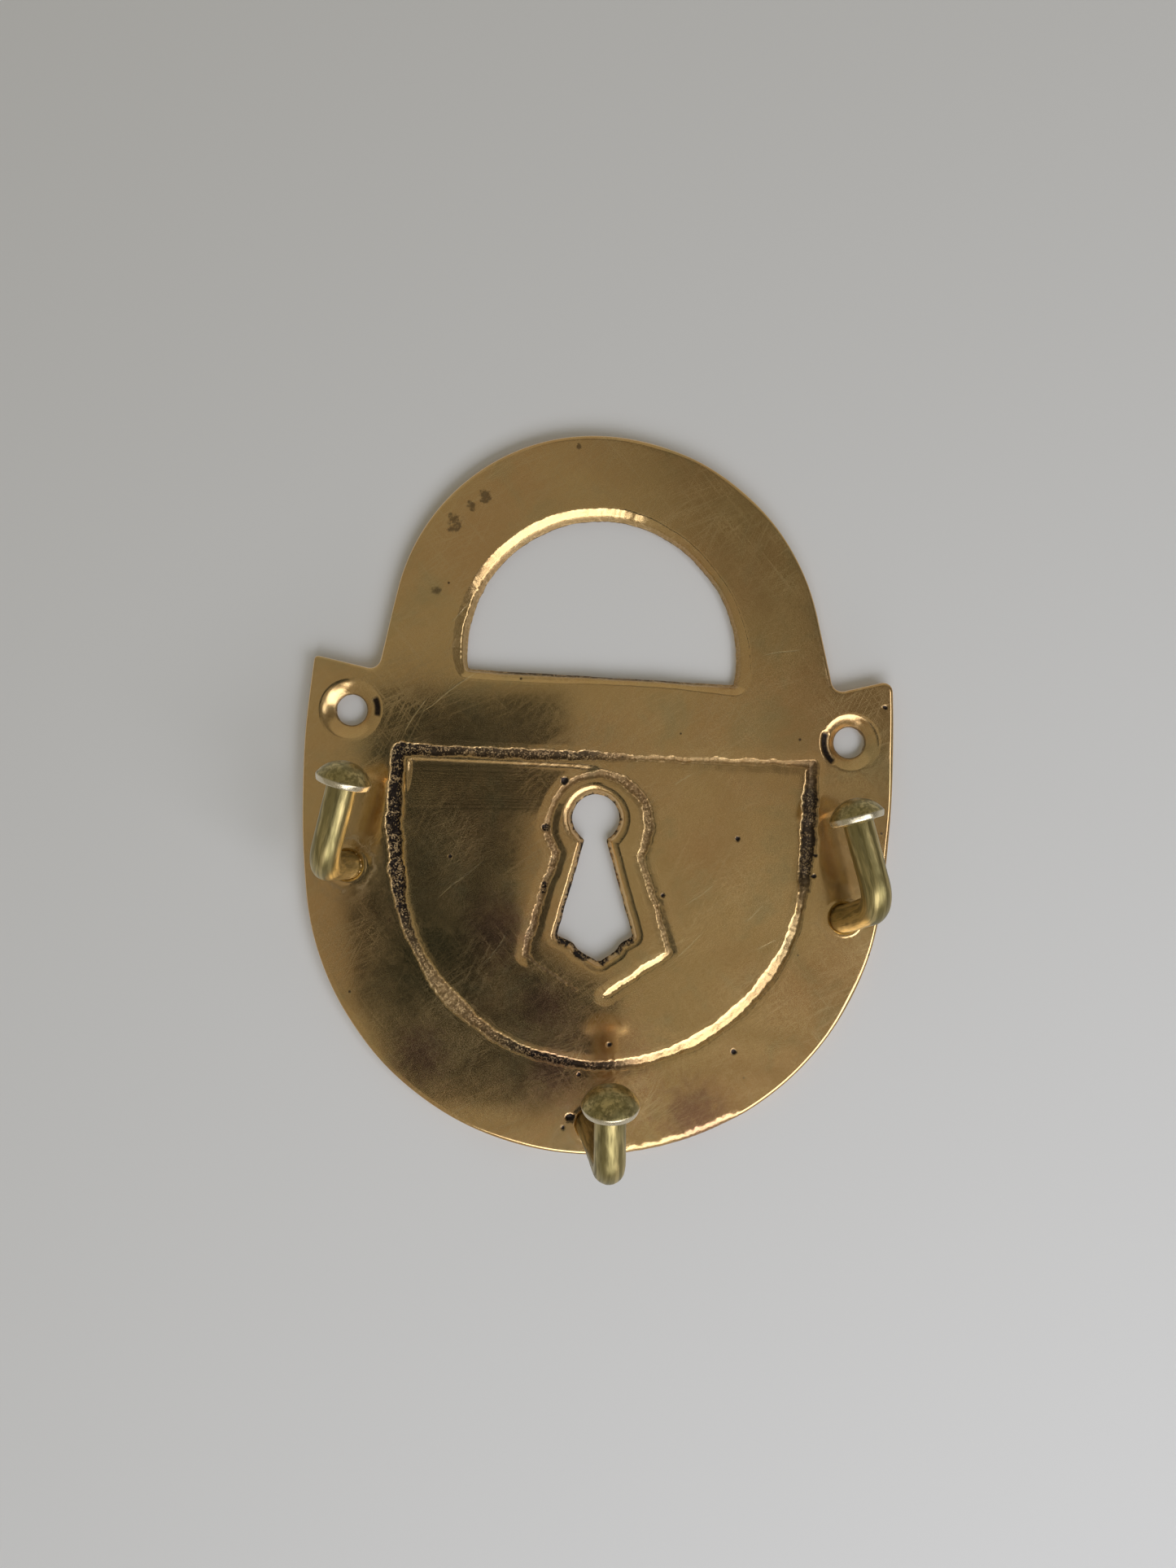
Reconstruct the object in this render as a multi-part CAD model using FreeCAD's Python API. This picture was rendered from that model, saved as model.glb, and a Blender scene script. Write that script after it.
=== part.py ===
"""Key rack in the shape of a padlock: a cast brass wall plate with three hooks bent from round-head rivets.

The plate hangs flat on a wall. X runs to the right as seen from the room, Z runs up the wall, and the
front face looks along -Y. The origin lies on the back face, midway between the two screw holes.
All sizes are in millimetres.
"""
import FreeCAD, Part
import math
import os

V = FreeCAD.Vector

# Plate
PLATE_T = 2.5
FRONT_Y = -PLATE_T
EDGE_ROUND = 0.7          # rounded rim of the front face
BACK_BREAK = 0.25         # broken edge of the back face
TOOL_OVER = 0.3           # how far each cutting solid reaches past the face it cuts

# Lower body of the padlock: a half disc with slightly bowed sides, ending in two ears
BODY_R = 52.1
BODY_C = (0.0, -25.0)
LEFT_EAR_TIP = (-51.9, 10.6)
RIGHT_EAR_TIP = (52.1, 10.5)
LEFT_SIDE_DEG = 7.5       # where each side leaves the half disc, below its centre
RIGHT_SIDE_DEG = 5.5
LEFT_NOTCH = (-40.45, 8.35)
RIGHT_NOTCH = (41.7, 7.7)
LEFT_TIP_R, RIGHT_TIP_R = 0.7, 1.7
NOTCH_R = 1.9

# Shackle: two arcs that meet at the crown, each running into a straight flank above its notch
CROWN = (-2.0, 52.2)
LEFT_SHACKLE_R = 36.2
RIGHT_SHACKLE_R = 41.6

# D-shaped window under the shackle: the through opening, and the wider bevel on the face
WINDOW = {"cx": -0.3, "cz": 12.9, "r": 24.5, "base": 8.4}
WINDOW_FACE = {"cx": -0.5, "cz": 12.6, "r": 26.6, "base": 7.1}
WINDOW_BEVEL_DEPTH = 1.7

# Keyhole: a round head over a flared skirt with a pointed foot
KEY_HEAD_C = (-0.1, -16.7)
KEY_HEAD_R = 4.3
KEY_NECK = [(-2.2, -20.9), (2.1, -20.9)]
KEY_FOOT = [(7.9, -38.1), (5.2, -39.6), (1.3, -43.0), (-2.7, -39.7), (-6.6, -38.5)]
KEY_LIP_HEAD_C = (-0.1, -17.3)
KEY_LIP_HEAD_R = 6.1
KEY_LIP_NECK = [(-4.1, -22.4), (4.0, -22.4)]
KEY_LIP_FOOT = [(9.2, -38.8), (6.3, -41.6), (1.2, -45.2), (-4.3, -41.9), (-8.1, -39.3)]
KEY_BEVEL_DEPTH = 1.6

# Line cast into the face round the lock body, and round the keyhole
PANEL_TOP = [(-36.3, -5.6), (38.3, -5.2)]
PANEL_C = (1.2, -24.2)
PANEL_R = 36.5
SHIELD_HEAD_C = (0.6, -17.6)
SHIELD_HEAD_R = 9.0
SHIELD_NECK = [(-7.3, -23.4), (8.4, -23.0)]
SHIELD_FOOT = [(14.0, -40.4), (1.6, -48.8), (-11.8, -41.4)]
GROOVE_W, GROOVE_FLOOR_W = 2.0, 0.5
GROOVE_DEPTH = 0.65

# Screw holes
SCREW_HOLES = {"left": (-45.0, 1.0), "right": (45.0, -1.0)}
SCREW_R = 2.8
SINK_R = 5.3
SINK_DEPTH = 1.7
SINK_LIP_R = 0.8

# Hooks: a rivet through the plate, bent up towards its head. The shank runs from its root in the plate
# out to the bend and then up to the seat under the head. Points are (x, z); reach is how far each of the
# two stands off the face.
SHANK_R = 2.5
TAIL_R = 3.75
TAIL_DEPTH = 1.2
FOOT_LIFT = 0.6           # the shank stands square to the plate for this far before it leans
FOOT_BEND_R = 4.0
HEAD_R = 4.62
HEAD_H = 4.0
HEAD_RIM_H = 0.95         # height of the widest circle above the underside
HEAD_UNDER_R = 4.15
HEAD_UNDER_H = 0.15
HOOKS = {
    "hook_left": {
        "root": (-44.35, -26.9),
        "bend": (-45.0, -26.0),
        "bend_reach": 17.5,
        "bend_r": 5.2,
        "seat": (-41.8, -12.4),
        "seat_reach": 19.4,
    },
    "hook_right": {
        "root": (45.2, -32.6),
        "bend": (47.5, -28.8),
        "bend_reach": 16.5,
        "bend_r": 5.1,
        "seat": (43.3, -14.85),
        "seat_reach": 15.6,
    },
    "hook_bottom": {
        "root": (1.3, -71.5),
        "bend": (4.3, -71.75),
        "bend_reach": 25.0,
        "bend_r": 3.1,
        "seat": (3.9, -61.0),
        "seat_reach": 28.4,
    },
}


def point(p, y):
    return V(p[0], y, p[1])


def line(a, b, y):
    return Part.LineSegment(point(a, y), point(b, y)).toShape()


def arc(a, middle, b, y):
    return Part.Arc(point(a, y), point(middle, y), point(b, y)).toShape()


def on_circle(centre, r, deg):
    """The point of a circle at an angle from +X towards +Z."""
    t = math.radians(deg)
    return (centre[0] + r * math.cos(t), centre[1] + r * math.sin(t))


def degrees_at(centre, p):
    return math.degrees(math.atan2(p[1] - centre[1], p[0] - centre[0]))


def circle_arc(centre, r, start_deg, end_deg, y):
    middle = (start_deg + end_deg) / 2
    return arc(on_circle(centre, r, start_deg), on_circle(centre, r, middle), on_circle(centre, r, end_deg), y)


def tangent_arc(start, normal, end, y):
    """The arc that leaves start square to normal, which points out of the shape, and ends at end."""
    dx, dz = end[0] - start[0], end[1] - start[1]
    r = -(dx * dx + dz * dz) / (2 * (dx * normal[0] + dz * normal[1]))
    centre = (start[0] - r * normal[0], start[1] - r * normal[1])
    a, b = degrees_at(centre, start), degrees_at(centre, end)
    if b - a > 180:
        b -= 360
    if a - b > 180:
        b += 360
    return circle_arc(centre, r, a, b, y)


def tangent_degrees(centre, r, outside, side):
    """Where the tangent from an outside point touches a circle, on the side away from x = centre."""
    dx, dz = outside[0] - centre[0], outside[1] - centre[1]
    half = math.degrees(math.acos(r / math.hypot(dx, dz)))
    return degrees_at(centre, outside) + side * half


def prism(edges, y_from, y_to):
    face = Part.Face(Part.Wire(Part.__sortEdges__(edges)))
    return face.extrude(V(0, y_to - y_from, 0))


def upright_edges(solid, p):
    """The edges square to the face that pass through a point of the outline."""
    found = []
    for e in solid.Edges:
        ends = [v.Point for v in e.Vertexes]
        if len(ends) == 2 and all(math.hypot(q.x - p[0], q.z - p[1]) < 0.01 for q in ends):
            found.append(e)
    return found


def rim_edges(solid, y):
    """Every edge that lies in the plane at y."""
    edges = [e for e in solid.Edges if not e.Degenerated]
    return [e for e in edges if abs(e.BoundBox.YMin - y) < 1e-4 and abs(e.BoundBox.YMax - y) < 1e-4]


def is_circle(edge, r):
    return isinstance(edge.Curve, Part.Circle) and abs(edge.Curve.Radius - r) < 0.01


def outline():
    """The padlock's outline, on the back face."""
    left_c = (CROWN[0], CROWN[1] - LEFT_SHACKLE_R)
    right_c = (CROWN[0], CROWN[1] - RIGHT_SHACKLE_R)
    left_deg = tangent_degrees(left_c, LEFT_SHACKLE_R, LEFT_NOTCH, -1) % 360
    right_deg = tangent_degrees(right_c, RIGHT_SHACKLE_R, RIGHT_NOTCH, 1)
    left_flank = on_circle(left_c, LEFT_SHACKLE_R, left_deg)
    right_flank = on_circle(right_c, RIGHT_SHACKLE_R, right_deg)
    left_side = on_circle(BODY_C, BODY_R, 180 + LEFT_SIDE_DEG)
    right_side = on_circle(BODY_C, BODY_R, -RIGHT_SIDE_DEG)
    left_normal = on_circle((0, 0), 1, 180 + LEFT_SIDE_DEG)
    right_normal = on_circle((0, 0), 1, -RIGHT_SIDE_DEG)
    return [
        line(LEFT_NOTCH, left_flank, 0),
        circle_arc(left_c, LEFT_SHACKLE_R, left_deg, 90, 0),
        circle_arc(right_c, RIGHT_SHACKLE_R, 90, right_deg, 0),
        line(right_flank, RIGHT_NOTCH, 0),
        line(RIGHT_NOTCH, RIGHT_EAR_TIP, 0),
        tangent_arc(right_side, right_normal, RIGHT_EAR_TIP, 0),
        circle_arc(BODY_C, BODY_R, 180 + LEFT_SIDE_DEG, 360 - RIGHT_SIDE_DEG, 0),
        tangent_arc(left_side, left_normal, LEFT_EAR_TIP, 0),
        line(LEFT_EAR_TIP, LEFT_NOTCH, 0),
    ]


def blank():
    """The plate before its openings are made."""
    solid = prism(outline(), 0, FRONT_Y)
    for p, r in [
        (LEFT_NOTCH, NOTCH_R),
        (RIGHT_NOTCH, NOTCH_R),
        (LEFT_EAR_TIP, LEFT_TIP_R),
        (RIGHT_EAR_TIP, RIGHT_TIP_R),
    ]:
        solid = solid.makeFillet(r, upright_edges(solid, p))
    solid = solid.makeFillet(EDGE_ROUND, rim_edges(solid, FRONT_Y))
    return solid.makeChamfer(BACK_BREAK, rim_edges(solid, 0))


def between(a, b, t):
    """A value or nested list of values part way from a to b; t may lie outside 0 to 1."""
    if isinstance(a, dict):
        return {k: between(a[k], b[k], t) for k in a}
    if isinstance(a, (list, tuple)):
        return type(a)(between(p, q, t) for p, q in zip(a, b))
    return a + (b - a) * t


def window_wire(w, y):
    left, right = w["cx"] - w["r"], w["cx"] + w["r"]
    centre = (w["cx"], w["cz"])
    return Part.Wire(
        [
            circle_arc(centre, w["r"], 180, 0, y),
            line((right, w["cz"]), (right, w["base"]), y),
            line((right, w["base"]), (left, w["base"]), y),
            line((left, w["base"]), (left, w["cz"]), y),
        ]
    )


def keyhole_wire(head_c, head_r, neck, foot, y):
    """A round head whose circle runs from neck point to neck point over the top, and a straight-sided skirt."""
    start, end = degrees_at(head_c, neck[1]), degrees_at(head_c, neck[0]) + 360
    left_neck = on_circle(head_c, head_r, end)
    right_neck = on_circle(head_c, head_r, start)
    corners = [right_neck, *foot, left_neck]
    edges = [line(a, b, y) for a, b in zip(corners, corners[1:])]
    return Part.Wire([circle_arc(head_c, head_r, end, start, y), *edges])


def bevelled_opening(wire_at, depth):
    """The cutting solid of an opening that narrows from the face to depth and then goes straight through."""
    over = TOOL_OVER / depth
    funnel = Part.makeLoft([wire_at(1 + over, FRONT_Y - TOOL_OVER), wire_at(0, FRONT_Y + depth)], True, True)
    throat = Part.Face(wire_at(0, FRONT_Y + depth)).extrude(V(0, PLATE_T - depth + TOOL_OVER, 0))
    return funnel.fuse(throat)


def window_tool():
    return bevelled_opening(lambda t, y: window_wire(between(WINDOW, WINDOW_FACE, t), y), WINDOW_BEVEL_DEPTH)


def keyhole_tool():
    opening = [KEY_HEAD_C, KEY_HEAD_R, KEY_NECK, KEY_FOOT]
    lip = [KEY_LIP_HEAD_C, KEY_LIP_HEAD_R, KEY_LIP_NECK, KEY_LIP_FOOT]
    return bevelled_opening(lambda t, y: keyhole_wire(*between(opening, lip, t), y), KEY_BEVEL_DEPTH)


def groove_tool(wire):
    """The cutting solid of a groove with sloped sides along a closed line drawn at the face."""
    slope = (GROOVE_W - GROOVE_FLOOR_W) / 2 / GROOVE_DEPTH

    def cone(side):
        top = wire.makeOffset2D(side * (GROOVE_W / 2 + slope * TOOL_OVER), 1)
        floor = wire.makeOffset2D(side * GROOVE_FLOOR_W / 2, 1)
        top.translate(V(0, -TOOL_OVER, 0))
        floor.translate(V(0, GROOVE_DEPTH, 0))
        return Part.makeLoft([top, floor], True, True)

    return cone(1).cut(cone(-1))


def panel_wire(y):
    left = (PANEL_C[0] - PANEL_R, PANEL_C[1])
    right = (PANEL_C[0] + PANEL_R, PANEL_C[1])
    return Part.Wire(
        [
            line(PANEL_TOP[0], PANEL_TOP[1], y),
            line(PANEL_TOP[1], right, y),
            circle_arc(PANEL_C, PANEL_R, 0, -180, y),
            line(left, PANEL_TOP[0], y),
        ]
    )


def countersink_tool(centre):
    """A screw hole with a countersink whose mouth is rounded into the face."""
    slope = (SINK_R - SCREW_R) / SINK_DEPTH
    mouth_r = SINK_R + slope * TOOL_OVER
    sink_l = SINK_DEPTH + TOOL_OVER
    sink = Part.makeCone(mouth_r, SCREW_R, sink_l, point(centre, FRONT_Y - TOOL_OVER), V(0, 1, 0))
    bore = Part.makeCylinder(SCREW_R, PLATE_T + 2 * TOOL_OVER, point(centre, FRONT_Y - TOOL_OVER), V(0, 1, 0))
    return sink.fuse(bore)


def rivet_hole_tool(root):
    """A hole for a hook's shank, countersunk at the back for its peened tail."""
    hole = Part.makeCylinder(SHANK_R, PLATE_T + TOOL_OVER, point(root, FRONT_Y - TOOL_OVER), V(0, 1, 0))
    sink = Part.makeCone(SHANK_R, TAIL_R, TAIL_DEPTH, point(root, -TAIL_DEPTH), V(0, 1, 0))
    return hole.fuse(sink)


def make_backplate():
    plate = blank()
    plate = plate.cut(window_tool())
    plate = plate.cut(groove_tool(panel_wire(FRONT_Y)))
    plate = plate.cut(groove_tool(keyhole_wire(SHIELD_HEAD_C, SHIELD_HEAD_R, SHIELD_NECK, SHIELD_FOOT, FRONT_Y)))
    plate = plate.cut(keyhole_tool())
    for centre in SCREW_HOLES.values():
        plate = plate.cut(countersink_tool(centre))
    mouths = [e for e in rim_edges(plate, FRONT_Y) if is_circle(e, SINK_R)]
    plate = plate.makeFillet(SINK_LIP_R, mouths)
    for hook in HOOKS.values():
        plate = plate.cut(rivet_hole_tool(hook["root"]))
    return plate


def rounded_path(points, radii):
    """A wire through straight runs joined by tangent arcs of the given radii, one for each inner point."""
    edges, start = [], points[0]
    for before, corner, after, r in zip(points, points[1:], points[2:], radii):
        a, b = (before - corner).normalize(), (after - corner).normalize()
        half = a.getAngle(b) / 2
        back = r / math.tan(half)
        inward = (a + b).normalize()
        middle = corner + inward * (r / math.sin(half) - r)
        edges.append(Part.LineSegment(start, corner + a * back).toShape())
        edges.append(Part.Arc(corner + a * back, middle, corner + b * back).toShape())
        start = corner + b * back
    edges.append(Part.LineSegment(start, points[-1]).toShape())
    return Part.Wire(edges)


def rivet_head():
    """A round head with a rounded rim, its underside on z = 0 and its crown on +Z."""
    under = V(HEAD_UNDER_R, 0, HEAD_UNDER_H)
    rim = V(HEAD_R, 0, HEAD_RIM_H)
    crown = V(0, 0, HEAD_H)
    belly = V(HEAD_R - 0.1, 0, (HEAD_UNDER_H + HEAD_RIM_H) / 2)
    rise = HEAD_H - HEAD_RIM_H
    dome_r = (HEAD_R**2 + rise**2) / (2 * rise)
    shoulder = V(dome_r * math.sin(0.6), 0, HEAD_H - dome_r + dome_r * math.cos(0.6))
    edges = [
        Part.LineSegment(V(0, 0, 0), V(SHANK_R, 0, 0)).toShape(),
        Part.LineSegment(V(SHANK_R, 0, 0), under).toShape(),
        Part.Arc(under, belly, rim).toShape(),
        Part.Arc(rim, shoulder, crown).toShape(),
        Part.LineSegment(crown, V(0, 0, 0)).toShape(),
    ]
    profile = Part.Face(Part.Wire(edges))
    return profile.revolve(V(0, 0, 0), V(0, 0, 1), 360)


def make_hook(root, bend, bend_reach, bend_r, seat, seat_reach):
    """A rivet whose tail is peened flush with the back face and whose shank is bent up towards the head."""
    corner = point(bend, FRONT_Y - bend_reach)
    under_head = point(seat, FRONT_Y - seat_reach)
    points = [point(root, 0), point(root, FRONT_Y - FOOT_LIFT), corner, under_head]
    path = rounded_path(points, [FOOT_BEND_R, bend_r])
    section = Part.Wire(Part.makeCircle(SHANK_R, points[0], V(0, 1, 0)))
    shank = path.makePipeShell([section], True, False)
    head = rivet_head()
    head.Placement = FreeCAD.Placement(under_head, FreeCAD.Rotation(V(0, 0, 1), under_head - corner))
    tail = Part.makeCone(SHANK_R, TAIL_R, TAIL_DEPTH, point(root, -TAIL_DEPTH), V(0, 1, 0))
    return shank.fuse([head, tail]).removeSplitter()


def main():
    os.makedirs("parts", exist_ok=True)
    nodes = {"backplate": make_backplate()}
    for name, hook in HOOKS.items():
        nodes[name] = make_hook(**hook)
    for name, shape in nodes.items():
        solids = shape.Solids
        print(name, "valid", shape.isValid(), "solids", len(solids), "volume", round(shape.Volume, 1))
        Part.makeCompound(solids).exportStep(f"parts/{name}.step")


main()
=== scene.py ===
"""The looks of the padlock key rack: a cast brass plate and three hooks bent from rivets.

Plate shapes are drawn in the plate's plane as (x, z) points in millimetres, seen from the room, with depth
measured into the plate from its front face. Meshes are made in metres in the CAD frame.
"""
import functools
import math

import bmesh
import bpy
import numpy as np
from mathutils import Matrix, Vector
from mathutils.geometry import delaunay_2d_cdt

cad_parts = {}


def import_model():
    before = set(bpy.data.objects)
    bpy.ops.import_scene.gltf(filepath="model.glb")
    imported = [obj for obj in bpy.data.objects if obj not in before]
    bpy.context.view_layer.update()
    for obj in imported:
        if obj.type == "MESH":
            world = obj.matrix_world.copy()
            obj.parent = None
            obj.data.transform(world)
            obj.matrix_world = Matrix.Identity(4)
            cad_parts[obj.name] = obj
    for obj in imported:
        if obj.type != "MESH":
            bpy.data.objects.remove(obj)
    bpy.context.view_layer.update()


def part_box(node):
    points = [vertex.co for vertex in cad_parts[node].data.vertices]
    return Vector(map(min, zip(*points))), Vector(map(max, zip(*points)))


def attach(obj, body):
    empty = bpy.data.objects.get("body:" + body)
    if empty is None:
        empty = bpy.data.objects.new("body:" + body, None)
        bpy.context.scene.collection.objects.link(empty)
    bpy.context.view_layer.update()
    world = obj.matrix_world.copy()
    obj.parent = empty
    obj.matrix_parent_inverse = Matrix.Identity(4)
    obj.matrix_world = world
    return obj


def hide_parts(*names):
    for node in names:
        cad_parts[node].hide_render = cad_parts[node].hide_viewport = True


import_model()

MM = 0.001

# ---------------- sizes, in millimetres
PLATE_LOW, PLATE_HIGH = (np.array(corner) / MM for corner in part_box("backplate"))
PLATE_T = PLATE_HIGH[1] - PLATE_LOW[1]

# Outline: a half disc under two ears and a shackle of two arcs
BODY_C, BODY_R = (0.0, -25.0), 52.1
LEFT_EAR, RIGHT_EAR = (-51.9, 10.6), (52.1, 10.5)
LEFT_SIDE_DEG, RIGHT_SIDE_DEG = 7.5, 5.5
LEFT_NOTCH, RIGHT_NOTCH = (-40.45, 8.35), (41.7, 7.7)
LEFT_EAR_R, RIGHT_EAR_R, NOTCH_R = 0.7, 1.7, 1.9
CROWN, LEFT_SHACKLE_R, RIGHT_SHACKLE_R = (-2.0, 52.2), 36.2, 41.6
EDGE_R = 0.7
BACK_BREAK, OPENING_BREAK = 0.25, 0.12     # how far from the back plane the rim and the openings end
BACK_STEP = 0.08                   # how far in from there the back face starts
BACK_INSET = 0.03                  # least depth of the back face inside the back plane
TAIL_SEAM_DEPTH, TAIL_SEAM_W = 0.14, 0.2
RIM_SOIL, OPENING_SOIL = (0.1, 0.5), (0.75, 1.0)     # dirt and roughness of the plate's edges
BACK_ROUGH, BACK_HAZE, SEAM_GRIME = 0.8, 0.1, 0.9
FILED_EDGE_DEG = (-84, -56)        # stretch of the lower right rim with file marks across it
FILED_EDGE_W, FILED_EDGE_DEPTH, FILE_MARK_DEPTH = 1.2, 0.35, 0.1

# Window under the shackle: radius and bevel width by angle round its centre, in degrees
WINDOW_C = (-0.3, 12.9)
WINDOW_CORNERS = [(24.0, 8.45), (-24.2, 9.3)]
WINDOW_SHAPE = [(-5, 24.4), (15, 24.1), (45, 23.7), (65, 23.9), (90, 24.2), (140, 24.4), (190, 24.3)]
WINDOW_DEPTH = 1.65
WINDOW_BEVEL = [
    (-180, 2.7),
    (-168, 1.9),
    (-90, 1.4),
    (-22, 1.3),
    (-6, 2.6),
    (12, 1.9),
    (35, 1.5),
    (60, 1.6),
    (90, 2.2),
    (140, 2.3),
    (180, 2.7),
]

# Keyhole
KEY_HEAD_C, KEY_HEAD_R = (-0.1, -16.6), 4.3
KEY_NECK = [(-2.2, -20.9), (2.1, -20.7)]
KEY_FOOT = [
    (7.5, -37.8),
    (5.3, -39.1),
    (4.5, -40.5),
    (1.5, -42.6),
    (-2.4, -40.5),
    (-3.2, -39.3),
    (-6.3, -38.1),
]
KEY_DEPTH, KEY_LIP_W = 1.55, 1.95

# Line cast round the keyhole, from its faint lower left round the head to the point of its foot
SHIELD_HEAD_C, SHIELD_HEAD_R = (0.5, -17.9), 9.1
SHIELD_NECK = [(-7.3, -23.4), (8.4, -23.0)]
SHIELD_FOOT = [(10.8, -30.0), (14.0, -40.4), (9.2, -43.8), (3.0, -48.2)]
SHIELD_FOOT_LEFT = [(-2.0, -47.6), (-6.0, -45.2), (-9.4, -43.2), (-11.9, -41.6), (-9.3, -31.0)]

# Line cast round the lock body, from its top left corner round to the right
PANEL_C, PANEL_R = (1.2, -24.2), 36.7
PANEL_LEFT = [(-36.4, -19.0), (-36.0, -5.8)]
PANEL_RIGHT = [(38.5, -5.2), (38.2, -12.0)]

# How each line's section changes along it: run, half width, depth, where its bottom lies from -1 on the inner
# side to 1 on the outer, flat share of the bottom, dirt and roughness
PANEL_SECTIONS = [
    (0, 1.25, 0.60, 0.0, 0.5, 0.9, 1.0),
    (4, 1.00, 0.42, 0.0, 0.4, 0.8, 1.0),
    (34, 0.95, 0.40, 0.0, 0.3, 0.7, 1.0),
    (44, 0.60, 0.24, 0.0, 0.1, 0.3, 1.0),
    (70, 0.60, 0.26, 0.0, 0.1, 0.25, 0.9),
    (75, 1.20, 0.50, 0.0, 0.3, 0.6, 0.35),
    (80, 1.40, 0.55, 0.15, 0.35, 0.8, 0.5),
    (94, 1.30, 0.55, 0.15, 0.3, 0.8, 0.5),
    (99, 0.85, 0.40, 0.2, 0.1, 0.5, 0.5),
    (106, 1.10, 0.55, 0.45, 0.0, 0.3, 0.35),
    (130, 1.15, 0.55, 0.5, 0.0, 0.12, 0.3),
    (142, 1.00, 0.50, 0.45, 0.05, 0.2, 0.35),
    (148, 0.85, 0.45, 0.2, 0.2, 0.75, 0.8),
    (162, 0.85, 0.45, 0.0, 0.2, 0.85, 1.0),
    (172, 0.90, 0.45, 0.0, 0.2, 0.6, 1.0),
    (182, 1.40, 0.34, 0.0, 0.4, 0.45, 1.0),
    (188, 0.80, 0.32, 0.0, 0.2, 0.6, 1.0),
    (197, 0.95, 0.42, 0.0, 0.3, 0.8, 1.0),
    (206, 1.35, 0.62, 0.0, 0.55, 0.95, 1.0),
    (228, 1.30, 0.60, 0.0, 0.5, 0.9, 1.0),
]
SHIELD_SECTIONS = [
    (0, 0.25, 0.02, 0.0, 0.0, 0.5, 0.25),
    (9.5, 0.30, 0.03, 0.0, 0.0, 0.6, 0.25),
    (12, 0.60, 0.30, 0.0, 0.2, 0.5, 1.0),
    (30, 0.65, 0.32, 0.0, 0.2, 0.5, 1.0),
    (38, 0.60, 0.28, 0.0, 0.1, 0.35, 1.0),
    (46, 0.60, 0.28, 0.0, 0.1, 0.4, 1.0),
    (56, 0.85, 0.40, 0.0, 0.3, 0.45, 1.2),
    (66, 0.80, 0.38, 0.0, 0.3, 0.5, 1.1),
    (73, 0.55, 0.30, 0.0, 0.1, 0.4, 0.9),
    (87, 0.45, 0.24, 0.0, 0.0, 0.4, 0.8),
    (90, 0.65, 0.36, 0.5, 0.0, 0.1, 0.3),
    (101, 0.65, 0.34, 0.5, 0.0, 0.1, 0.3),
    (103, 0.30, 0.10, 0.5, 0.0, 0.1, 0.3),
]
PANEL_SHOULDER = (2.3, 0.10)       # how far a line's soft shoulders reach, and how deep they sink
SHIELD_SHOULDER = (2.1, 0.15)
STEP_TOP, STEP_W, STEP_DEPTH, STEP_RETURN = -6.9, 0.9, 0.33, 9.0     # small step under the panel's top line
STEP_LEFT, STEP_RIGHT = -34.5, 2.0

# Screw holes: centre, hole radius and radius of the dished mouth
SCREW_HOLES = [((-45.0, 1.0), 2.8, 5.6), ((45.0, -1.0), 2.8, 5.3)]
DISH_DEPTH = 1.55
# The dark gap at one side of each dish: radius, and the middle and half of its arc in degrees
DISH_GAPS = [(4.85, 9, 24), (4.75, 196, 40)]
DISH_GAP_DEPTH, DISH_GAP_W = 0.25, 0.45

# Casting pits: x, z, radius, depth
PITS = [
    (-2.4, -70.4, 0.75, 0.4),
    (-3.6, -72.3, 0.35, 0.15),
    (-6.0, -10.1, 0.7, 0.35),
    (-9.0, -18.7, 0.7, 0.4),
    (-8.8, -29.0, 0.55, 0.35),
    (-8.9, -30.1, 0.45, 0.3),
    (-1.1, -62.7, 0.4, 0.25),
    (25.5, -19.1, 0.45, 0.2),
    (12.5, -29.9, 0.4, 0.2),
    (26.4, -57.4, 0.5, 0.2),
    (51.0, 5.5, 0.5, 0.3),
    (-25.9, -24.6, 0.4, 0.15),
    (4.0, -57.0, 0.35, 0.15),
    (39.6, -21.5, 0.35, 0.2),
    (39.4, -25.3, 0.4, 0.2),
]
HOOK_SEAM, HOOK_SEAM_DEPTH = 0.35, 0.3     # the fine gap round each hook where it leaves the plate
HOOK_SWELLING = 0.08               # height of the low swelling round it
WAVE_DEPTH, WAVE_LENGTH = 0.03, 16     # unevenness left by hand polishing
RESIDUE = (0.9, 0.25, 0.35)        # dried polish round the foot of the left, right and bottom hook

# Hooks: the same path as the CAD rivets. The shank runs from its root in the plate out to the bend, and
# then to the seat of the head. Root, bend and seat are (x, z); reach is how far each stands off the face.
SHANK_R = 2.5
TAIL_R, TAIL_DEPTH = 3.75, 1.2
FOOT_LIFT, FOOT_BEND_R = 0.6, 4.0
HEAD_R, HEAD_H, HEAD_RIM_H = 4.62, 4.0, 0.95
HOOK_WEAR, HOOK_DENTS = 0.045, 0.02     # height of the broad and of the small unevenness of a hook
# Each hook: root, bend, its reach and radius, seat, and its reach
HOOKS = {
    "hook_left": ((-44.35, -26.9), (-45.0, -26.0), 17.5, 5.2, (-41.8, -12.4), 19.4),
    "hook_right": ((45.2, -32.6), (47.5, -28.8), 16.5, 5.1, (43.3, -14.85), 15.6),
    "hook_bottom": ((1.3, -71.5), (4.3, -71.75), 25.0, 3.1, (3.9, -61.0), 28.4),
}
ROOTS = np.array([sizes[0] for sizes in HOOKS.values()])

# Mesh spacing: the coarsest and finest on the front face, and how fast it grows away from the relief
COARSE, FINEST, GRADING = 0.8, 0.2, 0.3
OUTLINE_STEP, OPENING_STEP = 0.5, 0.2
BACK_SPACING = 1.6
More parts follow.
